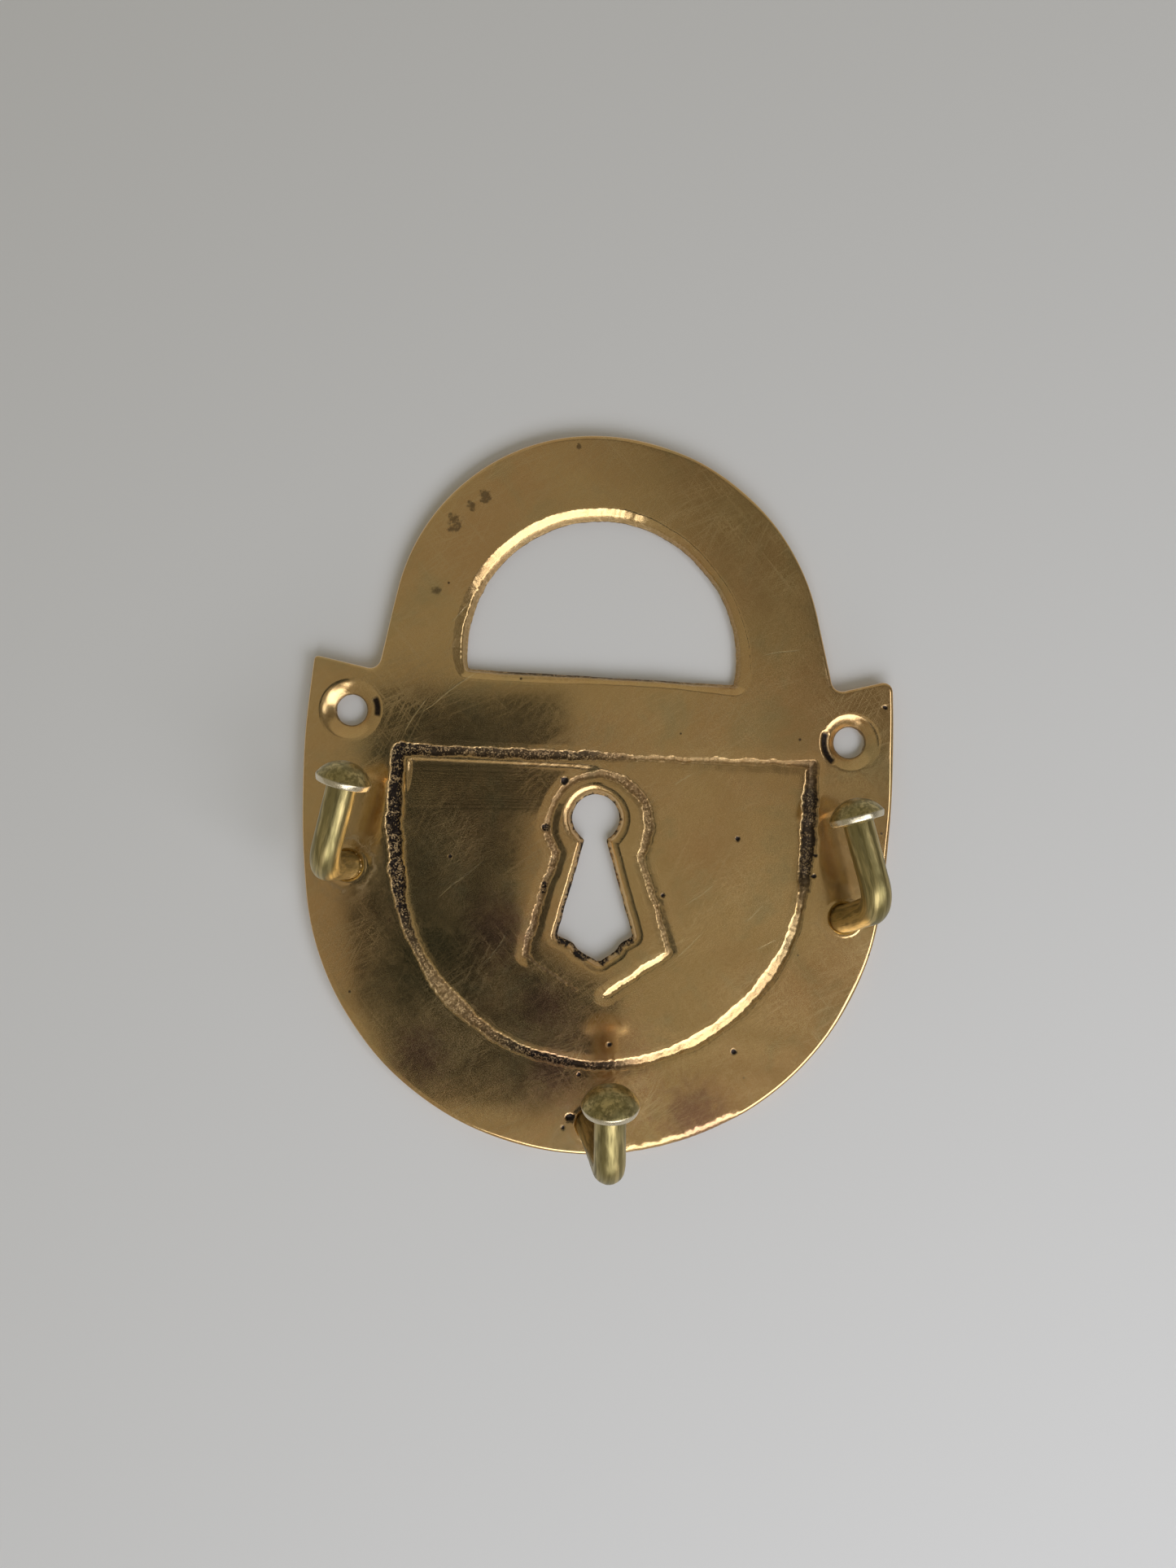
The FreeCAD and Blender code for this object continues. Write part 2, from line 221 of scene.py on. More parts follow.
# How far rows of mesh points lie inside the rim, outside the openings, and outside the edge of each tail
RIM_RINGS = (0.06, 0.16, 0.3, 0.48, 0.7, 1.0)
OPENING_RINGS = (0.12, 0.3)
TAIL_RINGS = (-1.2, -0.3, -0.05, 0.08, 0.25, 0.8)
FAR = 1e3                          # distance given to points that aren't near a line

# Camera: distance from the front face, aim and roll
LENS_MM, SENSOR_MM, CLIP_START = 27.05, 36.0, 0.01
CAMERA_AIM = (-1.8, -10.5)
CAMERA_DISTANCE = 211.4
CAMERA_ROLL_DEG = 2.5


# ---------------- random fields and small maths
class Noise:
    """A smooth random field over the plane, about -1 to 1, with lumps one unit across."""

    SIZE = 256

    def __init__(self, seed):
        self.values = np.random.default_rng(seed).uniform(-1, 1, (self.SIZE, self.SIZE))

    def __call__(self, x, y=0.0):
        x, y = np.broadcast_arrays(np.asarray(x, float), np.asarray(y, float))
        i, j = np.floor(x).astype(int), np.floor(y).astype(int)
        u, v = smooth(x - i), smooth(y - j)
        i, j = i % self.SIZE, j % self.SIZE
        right, up = (i + 1) % self.SIZE, (j + 1) % self.SIZE
        low = self.values[i, j] * (1 - v) + self.values[i, up] * v
        high = self.values[right, j] * (1 - v) + self.values[right, up] * v
        return low * (1 - u) + high * u

    def layered(self, x, y, layers=3):
        """The field with finer and fainter copies of itself added."""
        total = sum(self(x * 2**k + 17 * k, y * 2**k + 31 * k) / 2**k for k in range(layers))
        return total / 1.5


def smooth(t):
    """0 to 1 with level ends."""
    t = np.clip(t, 0, 1)
    return t * t * (3 - 2 * t)


# ---------------- lines in the plate's plane
def on_circle(centre, r, deg):
    """Points on a circle at angles in degrees."""
    t = np.radians(deg)
    return np.stack([centre[0] + r * np.cos(t), centre[1] + r * np.sin(t)], -1)


def arc(centre, r, start, end, step=0.5):
    """Points along a circle from one angle to another, in degrees."""
    n = max(3, round(abs(math.radians(end - start)) * r / step) + 1)
    return on_circle(centre, r, np.linspace(start, end, n))


def degrees_at(centre, p):
    """The angle at which a point is seen from a centre."""
    return math.degrees(math.atan2(p[1] - centre[1], p[0] - centre[0]))


def tangent_degrees(centre, r, outside, side):
    """Where the tangent from an outside point touches a circle."""
    half = math.degrees(math.acos(r / math.dist(centre, outside)))
    return degrees_at(centre, outside) + side * half


def tangent_arc(start, normal, end):
    """The arc that leaves start square to normal and ends at end."""
    dx, dz = end[0] - start[0], end[1] - start[1]
    r = -(dx * dx + dz * dz) / (2 * (dx * normal[0] + dz * normal[1]))
    centre = (start[0] - r * normal[0], start[1] - r * normal[1])
    a, b = degrees_at(centre, start), degrees_at(centre, end)
    b += 360 * round((a - b) / 360)
    return arc(centre, r, a, b)


def corner_arc(before, corner, after, r, step=0.2):
    """A corner of a line, rounded to radius r."""
    corner = np.array(corner)
    a, b = np.array(before) - corner, np.array(after) - corner
    a, b = a / np.linalg.norm(a), b / np.linalg.norm(b)
    half = math.acos(np.clip(a @ b, -1, 1)) / 2
    inward = (a + b) / np.linalg.norm(a + b)
    centre = corner + inward * r / math.sin(half)
    start = degrees_at(centre, corner + a * r / math.tan(half))
    end = degrees_at(centre, corner + b * r / math.tan(half))
    end += 360 * round((start - end) / 360)
    return arc(centre, r, start, end, step)


def resample(points, step, closed):
    """The same line with points at even steps."""
    points = np.asarray(points, float)
    if closed:
        points = np.concatenate([points, points[:1]])
    run = np.concatenate([[0], np.cumsum(np.hypot(*np.diff(points, axis=0).T))])
    n = max(8, round(run[-1] / step))
    at = np.linspace(0, run[-1], n + 1)
    line = np.stack([np.interp(at, run, points[:, k]) for k in (0, 1)], 1)
    return line[:-1] if closed else line


def softened(points, times):
    """A closed line with its corners worn round by averaging each point with its neighbours."""
    for _ in range(times):
        points = (np.roll(points, 1, axis=0) + 2 * points + np.roll(points, -1, axis=0)) / 4
    return points


class Path:
    """A line in the plate's plane that can say how far off and how far along it a point is."""

    CHUNK = 8000
    STRIDE = 5

    def __init__(self, points, closed):
        self.points = np.asarray(points, float)
        self.closed = closed
        ends = np.roll(self.points, -1, axis=0) if closed else self.points[1:]
        self.starts = self.points if closed else self.points[:-1]
        self.steps = ends - self.starts
        self.lengths = np.hypot(*self.steps.T)
        self.run = np.concatenate([[0], np.cumsum(self.lengths)])

    def measure(self, p, reach):
        """Distance from the line, run along it, and which side of it (+1 left) each point is on.

        Points further off than reach get a rough distance only.
        """
        distance, along, side = np.full(len(p), FAR), np.zeros(len(p)), np.ones(len(p))
        low, high = self.points.min(0) - reach, self.points.max(0) + reach
        near = np.nonzero(((p > low) & (p < high)).all(1))[0]
        marks = self.starts[:: self.STRIDE]
        for rows in np.array_split(near, len(near) // self.CHUNK + 1):
            gap = (p[rows, :1] - marks[:, 0]) ** 2 + (p[rows, 1:] - marks[:, 1]) ** 2
            nearest = gap.argmin(1)
            distance[rows] = np.sqrt(gap[np.arange(len(rows)), nearest])
            close = distance[rows] < reach + self.STRIDE * self.lengths.max()
            self.refine(p, rows[close], nearest[close] * self.STRIDE, distance, along, side)
        return distance, along, side

    def refine(self, p, rows, middle, distance, along, side):
        """Exact answers for some points, from the stretches of line next to each."""
        n = len(self.starts)
        pick = middle[:, None] + np.arange(-self.STRIDE, self.STRIDE)
        pick = pick % n if self.closed else np.clip(pick, 0, n - 1)
        dx, dz = self.steps[pick, 0], self.steps[pick, 1]
        ox, oz = p[rows, :1] - self.starts[pick, 0], p[rows, 1:] - self.starts[pick, 1]
        t = np.clip((ox * dx + oz * dz) / (dx * dx + dz * dz), 0, 1)
        gap = np.hypot(ox - t * dx, oz - t * dz)
        best = (np.arange(len(rows)), gap.argmin(1))
        distance[rows] = gap[best]
        along[rows] = self.run[pick[best]] + t[best] * self.lengths[pick[best]]
        side[rows] = np.where(dx[best] * oz[best] > dz[best] * ox[best], 1, -1)

    def inside(self, p):
        """Which points a closed line goes round."""
        hit = np.zeros(len(p), bool)
        near = np.nonzero(((p > self.points.min(0)) & (p < self.points.max(0))).all(1))[0]
        top = self.starts[:, 1] + self.steps[:, 1]
        slope = self.steps[:, 0] / np.where(self.steps[:, 1] == 0, 1, self.steps[:, 1])
        for rows in np.array_split(near, len(near) // self.CHUNK + 1):
            z = p[rows, 1:]
            crosses = (self.starts[:, 1] > z) != (top > z)
            beyond = self.starts[:, 0] + (z - self.starts[:, 1]) * slope > p[rows, :1]
            hit[rows] = (crosses & beyond).sum(1) % 2 == 1
        return hit

    def normals(self):
        """Unit normals at the points of a closed line, pointing to its left."""
        tangent = np.roll(self.points, -1, axis=0) - np.roll(self.points, 1, axis=0)
        tangent /= np.hypot(*tangent.T)[:, None]
        return np.stack([-tangent[:, 1], tangent[:, 0]], 1)


def outline_path():
    """The padlock's outline, anticlockwise from the left notch."""
    left_c = (CROWN[0], CROWN[1] - LEFT_SHACKLE_R)
    right_c = (CROWN[0], CROWN[1] - RIGHT_SHACKLE_R)
    left_deg = tangent_degrees(left_c, LEFT_SHACKLE_R, LEFT_NOTCH, -1) % 360
    right_deg = tangent_degrees(right_c, RIGHT_SHACKLE_R, RIGHT_NOTCH, 1)
    left_flank = on_circle(left_c, LEFT_SHACKLE_R, left_deg)
    right_flank = on_circle(right_c, RIGHT_SHACKLE_R, right_deg)
    left_side = on_circle(BODY_C, BODY_R, 180 + LEFT_SIDE_DEG)
    right_side = on_circle(BODY_C, BODY_R, -RIGHT_SIDE_DEG)
    left_bow = tangent_arc(left_side, on_circle((0, 0), 1, 180 + LEFT_SIDE_DEG), LEFT_EAR)[::-1]
    right_bow = tangent_arc(right_side, on_circle((0, 0), 1, -RIGHT_SIDE_DEG), RIGHT_EAR)
    pieces = [
        corner_arc(left_flank, LEFT_NOTCH, LEFT_EAR, NOTCH_R),
        corner_arc(LEFT_NOTCH, LEFT_EAR, left_bow[3], LEFT_EAR_R),
        left_bow[3:],
        arc(BODY_C, BODY_R, 180 + LEFT_SIDE_DEG, 360 - RIGHT_SIDE_DEG),
        right_bow[:-4],
        corner_arc(right_bow[-5], RIGHT_EAR, RIGHT_NOTCH, RIGHT_EAR_R),
        corner_arc(RIGHT_EAR, RIGHT_NOTCH, right_flank, NOTCH_R),
        arc(right_c, RIGHT_SHACKLE_R, right_deg, 90),
        arc(left_c, LEFT_SHACKLE_R, 90, left_deg),
    ]
    return Path(resample(np.concatenate(pieces), OUTLINE_STEP, True), True)


def window_path():
    """The window's through opening, clockwise, so that the plate lies to its left."""
    right, left = (degrees_at(WINDOW_C, corner) for corner in WINDOW_CORNERS)
    deg = np.linspace(left % 360, right, 160)
    radius = np.interp(deg, *zip(*WINDOW_SHAPE))
    points = np.array(WINDOW_C) + radius[:, None] * on_circle((0, 0), 1, deg)
    points = resample(np.concatenate([points, WINDOW_CORNERS]), OPENING_STEP, True)
    return Path(worn(softened(points, 6), seed=50, amount=0.07), True)


def worn(points, seed, amount):
    """A closed line made a little ragged."""
    path = Path(points, True)
    uneven = Noise(seed).layered(path.run[:-1] / 1.6, 0.0)
    return points + path.normals() * (amount * uneven)[:, None]


def keyhole_points(head_c, head_r, neck, foot):
    """From the left neck over the round head to the right neck and down to the foot."""
    start, end = degrees_at(head_c, neck[0]) + 360, degrees_at(head_c, neck[1])
    return np.concatenate([arc(head_c, head_r, start, end), foot])


def keyhole_path():
    """The keyhole's through opening, clockwise, so that the plate lies to its left."""
    points = resample(keyhole_points(KEY_HEAD_C, KEY_HEAD_R, KEY_NECK, KEY_FOOT), OPENING_STEP, True)
    return Path(worn(softened(points, 4), seed=51, amount=0.1), True)


def shield_path():
    """The line cast round the keyhole."""
    points = keyhole_points(SHIELD_HEAD_C, SHIELD_HEAD_R, SHIELD_NECK, SHIELD_FOOT)
    return Path(resample(np.concatenate([SHIELD_FOOT_LEFT, points]), 0.4, False), False)


def panel_path():
    """The line cast round the lock body."""
    points = np.concatenate([PANEL_LEFT[-1:], PANEL_RIGHT, arc(PANEL_C, PANEL_R, -3, -172), PANEL_LEFT[:1]])
    return Path(resample(points, 0.5, True), True)


def screw_path(centre, r):
    return Path(resample(arc(centre, r, 360, 1, 0.1), OPENING_STEP, True), True)


OUTLINE, WINDOW, KEYHOLE = outline_path(), window_path(), keyhole_path()
PANEL, SHIELD = panel_path(), shield_path()
HOLES = [WINDOW, KEYHOLE] + [screw_path(centre, r) for centre, r, _ in SCREW_HOLES]
FINE_DISCS = [(x, z, r + 0.4) for (x, z), _, r in SCREW_HOLES]
FINE_DISCS += [(x, z, r + 0.3) for x, z, r, _ in PITS]
FINE_DISCS += [(x, z, SHANK_R + 1.2) for x, z in ROOTS]


# ---------------- relief of the front face
class Relief:
    """Depth of the front face under its flat level, and its dirt, roughness and haze, at many points."""

    def __init__(self, p):
        self.p = p
        self.x, self.z = p.T
        self.depth, self.grime, self.rough, self.haze = np.zeros((4, len(p)))
        self.edge()
        self.window()
        self.keyhole()
        self.groove(PANEL, PANEL_SECTIONS, PANEL_SHOULDER, seed=11)
        self.groove(SHIELD, SHIELD_SECTIONS, SHIELD_SHOULDER, seed=12)
        self.step()
        self.dishes()
        self.pits()
        self.feet()
        self.waves()

    def away(self, x, z):
        """How far each point is from a place on the plate."""
        return np.hypot(self.x - x, self.z - z)

    def deepen(self, depth):
        """Cuts to a depth where that is lower than the surface already is."""
        self.depth = np.maximum(self.depth, depth)

    def soil(self, grime, rough):
        self.grime = np.maximum(self.grime, grime)
        self.rough = np.maximum(self.rough, rough)

    def grain(self, seed, size):
        """The sand-cast skin: lumps of about the given size."""
        return Noise(seed).layered(self.x / size, self.z / size)

    def edge(self):
        """The rim, rounded by filing and polishing, a little unevenly, with file marks at the lower right."""
        d, run, _ = OUTLINE.measure(self.p, 2)
        r = EDGE_R * (1 + 0.25 * Noise(1)(run / 9))
        inset = np.clip(r - d, 0, r)
        self.depth += np.where(d < r, r - np.sqrt(r * r - inset * inset), 0)
        deg = np.degrees(np.arctan2(self.z - BODY_C[1], self.x - BODY_C[0]))
        filed = smooth((deg - FILED_EDGE_DEG[0]) / 5) * smooth((FILED_EDGE_DEG[1] - deg) / 5)
        slope = np.clip(1 - d / FILED_EDGE_W, 0, 1) * filed
        marks = FILE_MARK_DEPTH * Noise(9)(run / 0.5) * smooth(slope * 4)
        self.depth += FILED_EDGE_DEPTH * slope + marks
        self.soil(0, 0.4 * smooth(slope * 4))

    def window(self):
        """The bevel round the window, with file marks across it."""
        d, run, _ = WINDOW.measure(self.p, 4)
        deg = np.degrees(np.arctan2(self.z - WINDOW_C[1], self.x - WINDOW_C[0]))
        width = np.interp(deg, *zip(*WINDOW_BEVEL)) * (1 + 0.05 * Noise(2)(run / 4))
        slope = np.clip(1 - d / width, 0, 1)
        inner = smooth((slope - 0.3) / 0.4)
        left = smooth((deg - 60) / 40) + smooth((-deg - 160) / 10)
        base = smooth((-deg - 10) / 10) * smooth((deg + 172) / 8)
        marks = (0.008 + 0.016 * left) * Noise(3)(run / 0.45, d / 2.5)
        marks += 0.014 * left * Noise(4)(run / 1.3, d / 2)
        grain = (0.01 + 0.07 * base) * self.grain(5, 0.5)
        grain += 0.10 * smooth((slope - 0.62) / 0.2) * self.grain(6, 0.45)
        side = smooth((deg - 140) / 24) + smooth((-deg - 165) / 8)
        share = 0.74 - 0.42 * side - 0.36 * base
        chamfer = share * slope + (1 - share) * smooth((slope - 0.6) / 0.4)
        self.deepen(WINDOW_DEPTH * chamfer + smooth(slope * 4) * marks + inner * grain)
        edge = smooth((slope - 0.6) / 0.25)
        scuffed = 0.3 * left * (1 - side) * smooth(slope * 3)
        self.soil(edge * (0.3 + 0.55 * base), np.maximum.reduce([edge, inner * base, scuffed]))

    def keyhole(self):
        """The soft lip round the keyhole, ragged and dirty at the opening itself."""
        d, run, _ = KEYHOLE.measure(self.p, 4)
        width = KEY_LIP_W * (1 + 0.05 * Noise(7)(run / 3))
        slope = np.clip(1 - d / width, 0, 1)
        foot = smooth((-37.4 - self.z) / 0.8)
        grain = self.grain(8, 0.45)
        ragged = smooth((slope - 0.7 + 0.15 * foot) / 0.2)
        crown = smooth((self.z - KEY_HEAD_C[1]) / 2) * smooth((2 - self.x) / 3)
        flank = smooth((-18.0 - self.z) / 4) * smooth(-self.x / 2)
        share = 0.34 + 0.3 * crown - 0.22 * flank
        lip = KEY_DEPTH * (share * slope**1.3 + (1 - share) * smooth((slope - 0.5) / 0.5))
        self.deepen(lip + 0.12 * grain * ragged)
        broken = smooth(Noise(10)(run / 1.7) * 2.2 + 0.75)
        crust = smooth((slope - 0.86 + 0.32 * foot * broken + 0.12 * flank + 0.2 * grain) / 0.14)
        self.soil(crust, np.maximum(ragged, 0.25 * smooth(slope * 2)))

    def groove(self, path, sections, shoulder, seed):
        """A rough channel along a line, between soft shoulders."""
        d, run, side = path.measure(self.p, 4)
        sections = np.array(sections, float).T
        half, depth, skew, flat, dirt, rough = (np.interp(run, sections[0], row) for row in sections[1:])
        wobble, size = Noise(seed), Noise(seed + 20)
        across = d * side + 0.14 * wobble(run / 2.1) + 0.08 * wobble(run / 0.7, 9)
        half = half * (1 + 0.16 * size(run / 2.6) + 0.08 * wobble(run / 0.45, 21))
        bottom, floor = skew * half, flat * half
        inner = (across + half) / (half + bottom - floor)
        outer = (half - across) / (half - bottom - floor)
        v = np.clip(np.minimum(inner, outer), 0, 1)
        grain = self.grain(seed + 40, 0.4)
        ticks = (1.1 - np.minimum(rough, 1.1)) * 0.05 * Noise(seed + 60)(run / 0.45)
        cut = depth * (1 + 0.2 * size(run / 1.9, 5)) * v + (0.15 * rough * grain + ticks) * smooth(v * 3)
        reach, sink = shoulder
        self.depth += cut + sink * smooth(depth * 5) * smooth(1 - np.abs(across) / reach)
        edge_grain = smooth(1.6 - np.abs(across) / half) * rough
        speckled = smooth((v - 0.02 + 0.3 * grain) / 0.3) * smooth(v * 12)
        self.soil(np.minimum(1.2 * dirt * speckled, 1), np.maximum(rough * smooth(v * 3), 0.2 * edge_grain))

    def step(self):
        """The small step down to the panel under the left half of its top line."""
        across = smooth((self.x - STEP_LEFT) / 1) * smooth((STEP_RIGHT - self.x) / 6)
        down = np.clip((STEP_TOP - self.z) / STEP_W, 0, 1)
        back = smooth(1 - (STEP_TOP - STEP_W - self.z) / STEP_RETURN)
        self.depth += STEP_DEPTH * across * down * back

    def dishes(self):
        """The dished mouths of the screw holes, each with a dark gap at one side."""
        for (x, z), hole_r, mouth_r in SCREW_HOLES:
            r = self.away(x, z)
            inward = np.clip((mouth_r - r) / (mouth_r - hole_r), 0, 1.1)
            self.deepen(DISH_DEPTH * inward**1.5)
            rough = 0.12 * smooth(inward * 4) + 0.4 * smooth((inward - 0.8) / 0.2)
            self.soil(0.7 * smooth((inward - 0.88) / 0.1), rough)
        for ((x, z), _, _), (gap_r, middle, half) in zip(SCREW_HOLES, DISH_GAPS):
            r = self.away(x, z)
            deg = np.degrees(np.arctan2(self.z - z, self.x - x)) - middle
            deg = np.abs((deg + 180) % 360 - 180)
            gap = smooth(1.8 - np.abs(r - gap_r) / DISH_GAP_W) * smooth((half - deg) / 8)
            self.depth += DISH_GAP_DEPTH * gap
            self.soil(gap, 0)

    def pits(self):
        """Casting pits."""
        ragged = Noise(60)
        for x, z, size, depth in PITS:
            r = self.away(x, z)
            r = r * (1 + 0.25 * ragged(self.x / 0.4, self.z / 0.4)) / size
            hole = smooth(1.25 - r)
            self.depth += 0.7 * depth * hole
            self.soil(smooth((hole - 0.02) * 6), 0)

    def feet(self):
        """A fine gap and a low swelling where each hook leaves the plate, with dried polishing paste left
        round it.
        """
        patchy = Noise(95).layered(self.x / 1.6, self.z / 1.6)
        for (x, z), amount in zip(ROOTS, RESIDUE):
            r = self.away(x, z) - SHANK_R
            seam, swelling = smooth(1 - np.abs(r) / HOOK_SEAM), smooth(1 - np.abs(r - 0.6) / 0.6)
            self.depth += HOOK_SEAM_DEPTH * seam - HOOK_SWELLING * swelling
            self.soil(0.6 * (1 - amount) * smooth(1 - r / 0.45), 0)
            ring = smooth(1 - np.abs(r - 1.9 - patchy) / 0.7)
            ring += 0.5 * smooth(1 - np.abs(r - 3.6 + patchy) / 0.9)
            self.haze = np.maximum(self.haze, np.clip(amount * ring * (0.6 + patchy), 0, 1))

    def waves(self):
        """Unevenness left by hand polishing."""
        self.depth += WAVE_DEPTH * (1 + Noise(70)(self.x / WAVE_LENGTH, self.z / WAVE_LENGTH))


# ---------------- plate mesh
def wanted_spacing(p):
    """How far apart mesh points should be: finest on the grooves, bevels and pits."""
    gap = np.full(len(p), FAR)
    for path, reach in ((PANEL, 1.5), (SHIELD, 1.2), (WINDOW, 2.8), (KEYHOLE, 2.1)):
        gap = np.minimum(gap, path.measure(p, reach + 2)[0] - reach)
    for x, z, r in FINE_DISCS:
        gap = np.minimum(gap, np.hypot(p[:, 0] - x, p[:, 1] - z) - r)
    return FINEST + GRADING * np.clip(gap, 0, None)


def graded_points(low, high):
    """Cell centres over a rectangle and their sizes, split where the relief needs it."""
    xs = np.arange(low[0], high[0] + COARSE, COARSE)
    zs = np.arange(low[1], high[1] + COARSE, COARSE)
    cells = np.stack(np.meshgrid(xs, zs), -1).reshape(-1, 2)
    size, kept, sizes = COARSE, [], []
    while len(cells):
        split = (wanted_spacing(cells) < size * 0.75) & (size > FINEST * 1.01)
        kept.append(cells[~split])
        sizes.append(np.full(len(kept[-1]), size))
        quarter = size / 4
        shifts = np.array([(i, j) for i in (-quarter, quarter) for j in (-quarter, quarter)])
        cells = (cells[split][:, None] + shifts).reshape(-1, 2)
        size /= 2
    return np.concatenate(kept), np.concatenate(sizes)


def on_metal(p, rim_gap=0.0, hole_gap=0.0):
    """Which points are on the plate, at least so far from its rim and its openings."""
    on = OUTLINE.inside(p)
    if rim_gap:
        on &= OUTLINE.measure(p, rim_gap)[0] > rim_gap
    for hole in HOLES:
        on &= ~hole.inside(p)
        if hole_gap:
            on &= hole.measure(p, hole_gap)[0] > hole_gap
    return on


def edge_rings():
    """Rows of mesh points just inside the rim and just outside each opening."""
    rows = []
    for path, offsets in [(OUTLINE, RIM_RINGS)] + [(hole, OPENING_RINGS) for hole in HOLES]:
        for offset in offsets:
            row = path.points + path.normals() * offset
            rows.append(row[path.measure(row, 3)[0] > 0.9 * offset])
    return np.concatenate(rows)


def triangulate(loops, inner):
    """Triangles over the plate between loops of edge points, as points and triples of their numbers."""
    points, edges = [], []
    for loop in loops:
        first = len(points)
        points += [Vector(q) for q in loop]
        edges += [(first + k, first + (k + 1) % len(loop)) for k in range(len(loop))]
    points += [Vector(q) for q in inner]
    verts, _, faces, origins, _, _ = delaunay_2d_cdt(points, edges, [], 0, 1e-7, True)
    given = np.empty(len(verts), int)
    for new, old in enumerate(origins):
        given[new] = old[0]
    xz = np.array([tuple(p) for p in points])
    tris = given[np.array(faces)]
    return xz, tris[on_metal(xz[tris].mean(1))]


def front_points():
    """Mesh points of the front face inside its edge loops."""
    grid, sizes = graded_points(PLATE_LOW[[0, 2]], PLATE_HIGH[[0, 2]])
    keep = on_metal(grid, RIM_RINGS[-1] + 0.25, OPENING_RINGS[-1] + 0.12)
    jitter = np.random.default_rng(5).uniform(-0.12, 0.12, grid.shape) * sizes[:, None]
    return np.concatenate([edge_rings(), (grid + jitter)[keep]])


def back_points():
    """Mesh points of the back face inside its edge loops."""
    xs = np.arange(PLATE_LOW[0], PLATE_HIGH[0], BACK_SPACING)
    zs = np.arange(PLATE_LOW[2], PLATE_HIGH[2], BACK_SPACING)
    grid = np.stack(np.meshgrid(xs, zs), -1).reshape(-1, 2)
    grid += np.random.default_rng(6).uniform(-0.3, 0.3, grid.shape)
    clear = (np.linalg.norm(grid[:, None] - ROOTS, axis=2) > TAIL_R + 1.2).all(1)
    rings = [on_circle(root, TAIL_R + gap, np.arange(0, 360, 7.5)) for root in ROOTS for gap in TAIL_RINGS]
    return np.concatenate([grid[on_metal(grid, 0.9, 0.9) & clear], *rings])


def back_depth(p):
    """How far the back face lies inside the flat back plane, with a seam round each tail."""
    x, z = p.T
    depth = BACK_INSET + 0.015 * (1 + Noise(80)(x / 9, z / 9)) + 0.01 * (1 + Noise(81)(x / 2.4, z / 2.4))
    for root in ROOTS:
        r = np.hypot(x - root[0], z - root[1])
        depth += TAIL_SEAM_DEPTH * smooth(1 - np.abs(r - TAIL_R) / TAIL_SEAM_W)
    return depth


def wall_rings(path, top_y, bottom_y):
    """Rings of points down an edge of the plate, between two depths, with a cast unevenness."""
    rough = Noise(90)
    run = path.run[:-1]
    normals = path.normals()
    for share in (0.25, 0.5, 0.75, 1.0):
        y = top_y * (1 - share) + bottom_y * share
        uneven = 0.06 + 0.05 * rough(run / 0.6, share * 3) + 0.03 * rough(run / 3.0, share + 40)
        points = path.points + normals * uneven[:, None]
        yield np.stack([points[:, 0], y, points[:, 1]], 1)


def backplate_piece():
    """The plate as one closed mesh, with dirt, roughness and haze stored on its vertices."""
    loops = [OUTLINE] + HOLES
    front_xz, front_tris = triangulate([path.points for path in loops], front_points())
    relief = Relief(front_xz)
    verts = [np.stack([front_xz[:, 0], relief.depth - PLATE_T, front_xz[:, 1]], 1)]
    grime, rough, haze = [relief.grime], [relief.rough], [relief.haze]
    faces = [front_tris]
    quads, count, start, lowest, back_loops = [], len(front_xz), 0, [], []
    for path in loops:
        n = len(path.points)
        bottom, soil = (BACK_BREAK, RIM_SOIL) if path is OUTLINE else (OPENING_BREAK, OPENING_SOIL)
        upper = np.arange(start, start + n)
        for ring in wall_rings(path, verts[0][upper, 1], -bottom):
            lower = count + np.arange(n)
            quads.append(strip(upper, lower))
            verts.append(ring)
            for field, value in zip((grime, rough, haze), (*soil, 0)):
                field.append(np.full(n, value, float))
            upper, count = lower, count + n
        lowest.append(upper)
        back_loops.append(path.points + path.normals() * (BACK_STEP + bottom))
        start += n
    back_xz, back_tris = triangulate(back_loops, back_points())
    inset = back_depth(back_xz)
    verts.append(np.stack([back_xz[:, 0], -inset, back_xz[:, 1]], 1))
    patchy = 0.25 + 0.25 * Noise(82).layered(*back_xz.T / 7)
    grime.append(np.where(inset > 0.12, SEAM_GRIME, np.clip(patchy, 0, 1)))
    rough.append(np.full(len(inset), BACK_ROUGH))
    haze.append(np.full(len(inset), BACK_HAZE))
    faces.append(back_tris + count)
    for upper in lowest:
        quads.append(strip(upper, count + np.arange(len(upper))))
        count += len(upper)
    fields = {"grime": grime, "rough": rough, "haze": haze}
    fields = {key: np.concatenate(parts) for key, parts in fields.items()}
    faces = [face for part in faces + quads for face in part.tolist()]
    return mesh_piece("backplate_brass", np.concatenate(verts), faces, **fields)


def strip(upper, lower):
    """Quads between two closed rows of vertex numbers."""
    return np.stack([upper, np.roll(upper, -1), np.roll(lower, -1), lower], 1)


def linked(name, data):
    """A new object in the scene."""
    obj = bpy.data.objects.new(name, data)
    bpy.context.scene.collection.objects.link(obj)
    return obj


def mesh_piece(name, verts, faces, **fields):
    """A closed, smooth-shaded object from points in millimetres, with named values on its vertices."""
    mesh = bpy.data.meshes.new(name)
    mesh.from_pydata((np.asarray(verts) * MM).tolist(), [], faces)
    for key, data in fields.items():
        kind, value = ("FLOAT", "value") if data.ndim == 1 else ("FLOAT_VECTOR", "vector")
        mesh.attributes.new(key, kind, "POINT").data.foreach_set(value, data.astype(np.float32).ravel())
    shape = bmesh.new()
    shape.from_mesh(mesh)
    bmesh.ops.recalc_face_normals(shape, faces=shape.faces)
    shape.to_mesh(mesh)
    shape.free()
    mesh.shade_smooth()
    mesh.set_sharp_from_angle(angle=math.radians(50))
    return linked(name, mesh)


# ---------------- hooks
def straight(a, b, step):
    """Points at even steps from a to b."""
    n = max(1, int((b - a).length / step))
    return [a.lerp(b, k / n) for k in range(n + 1)]


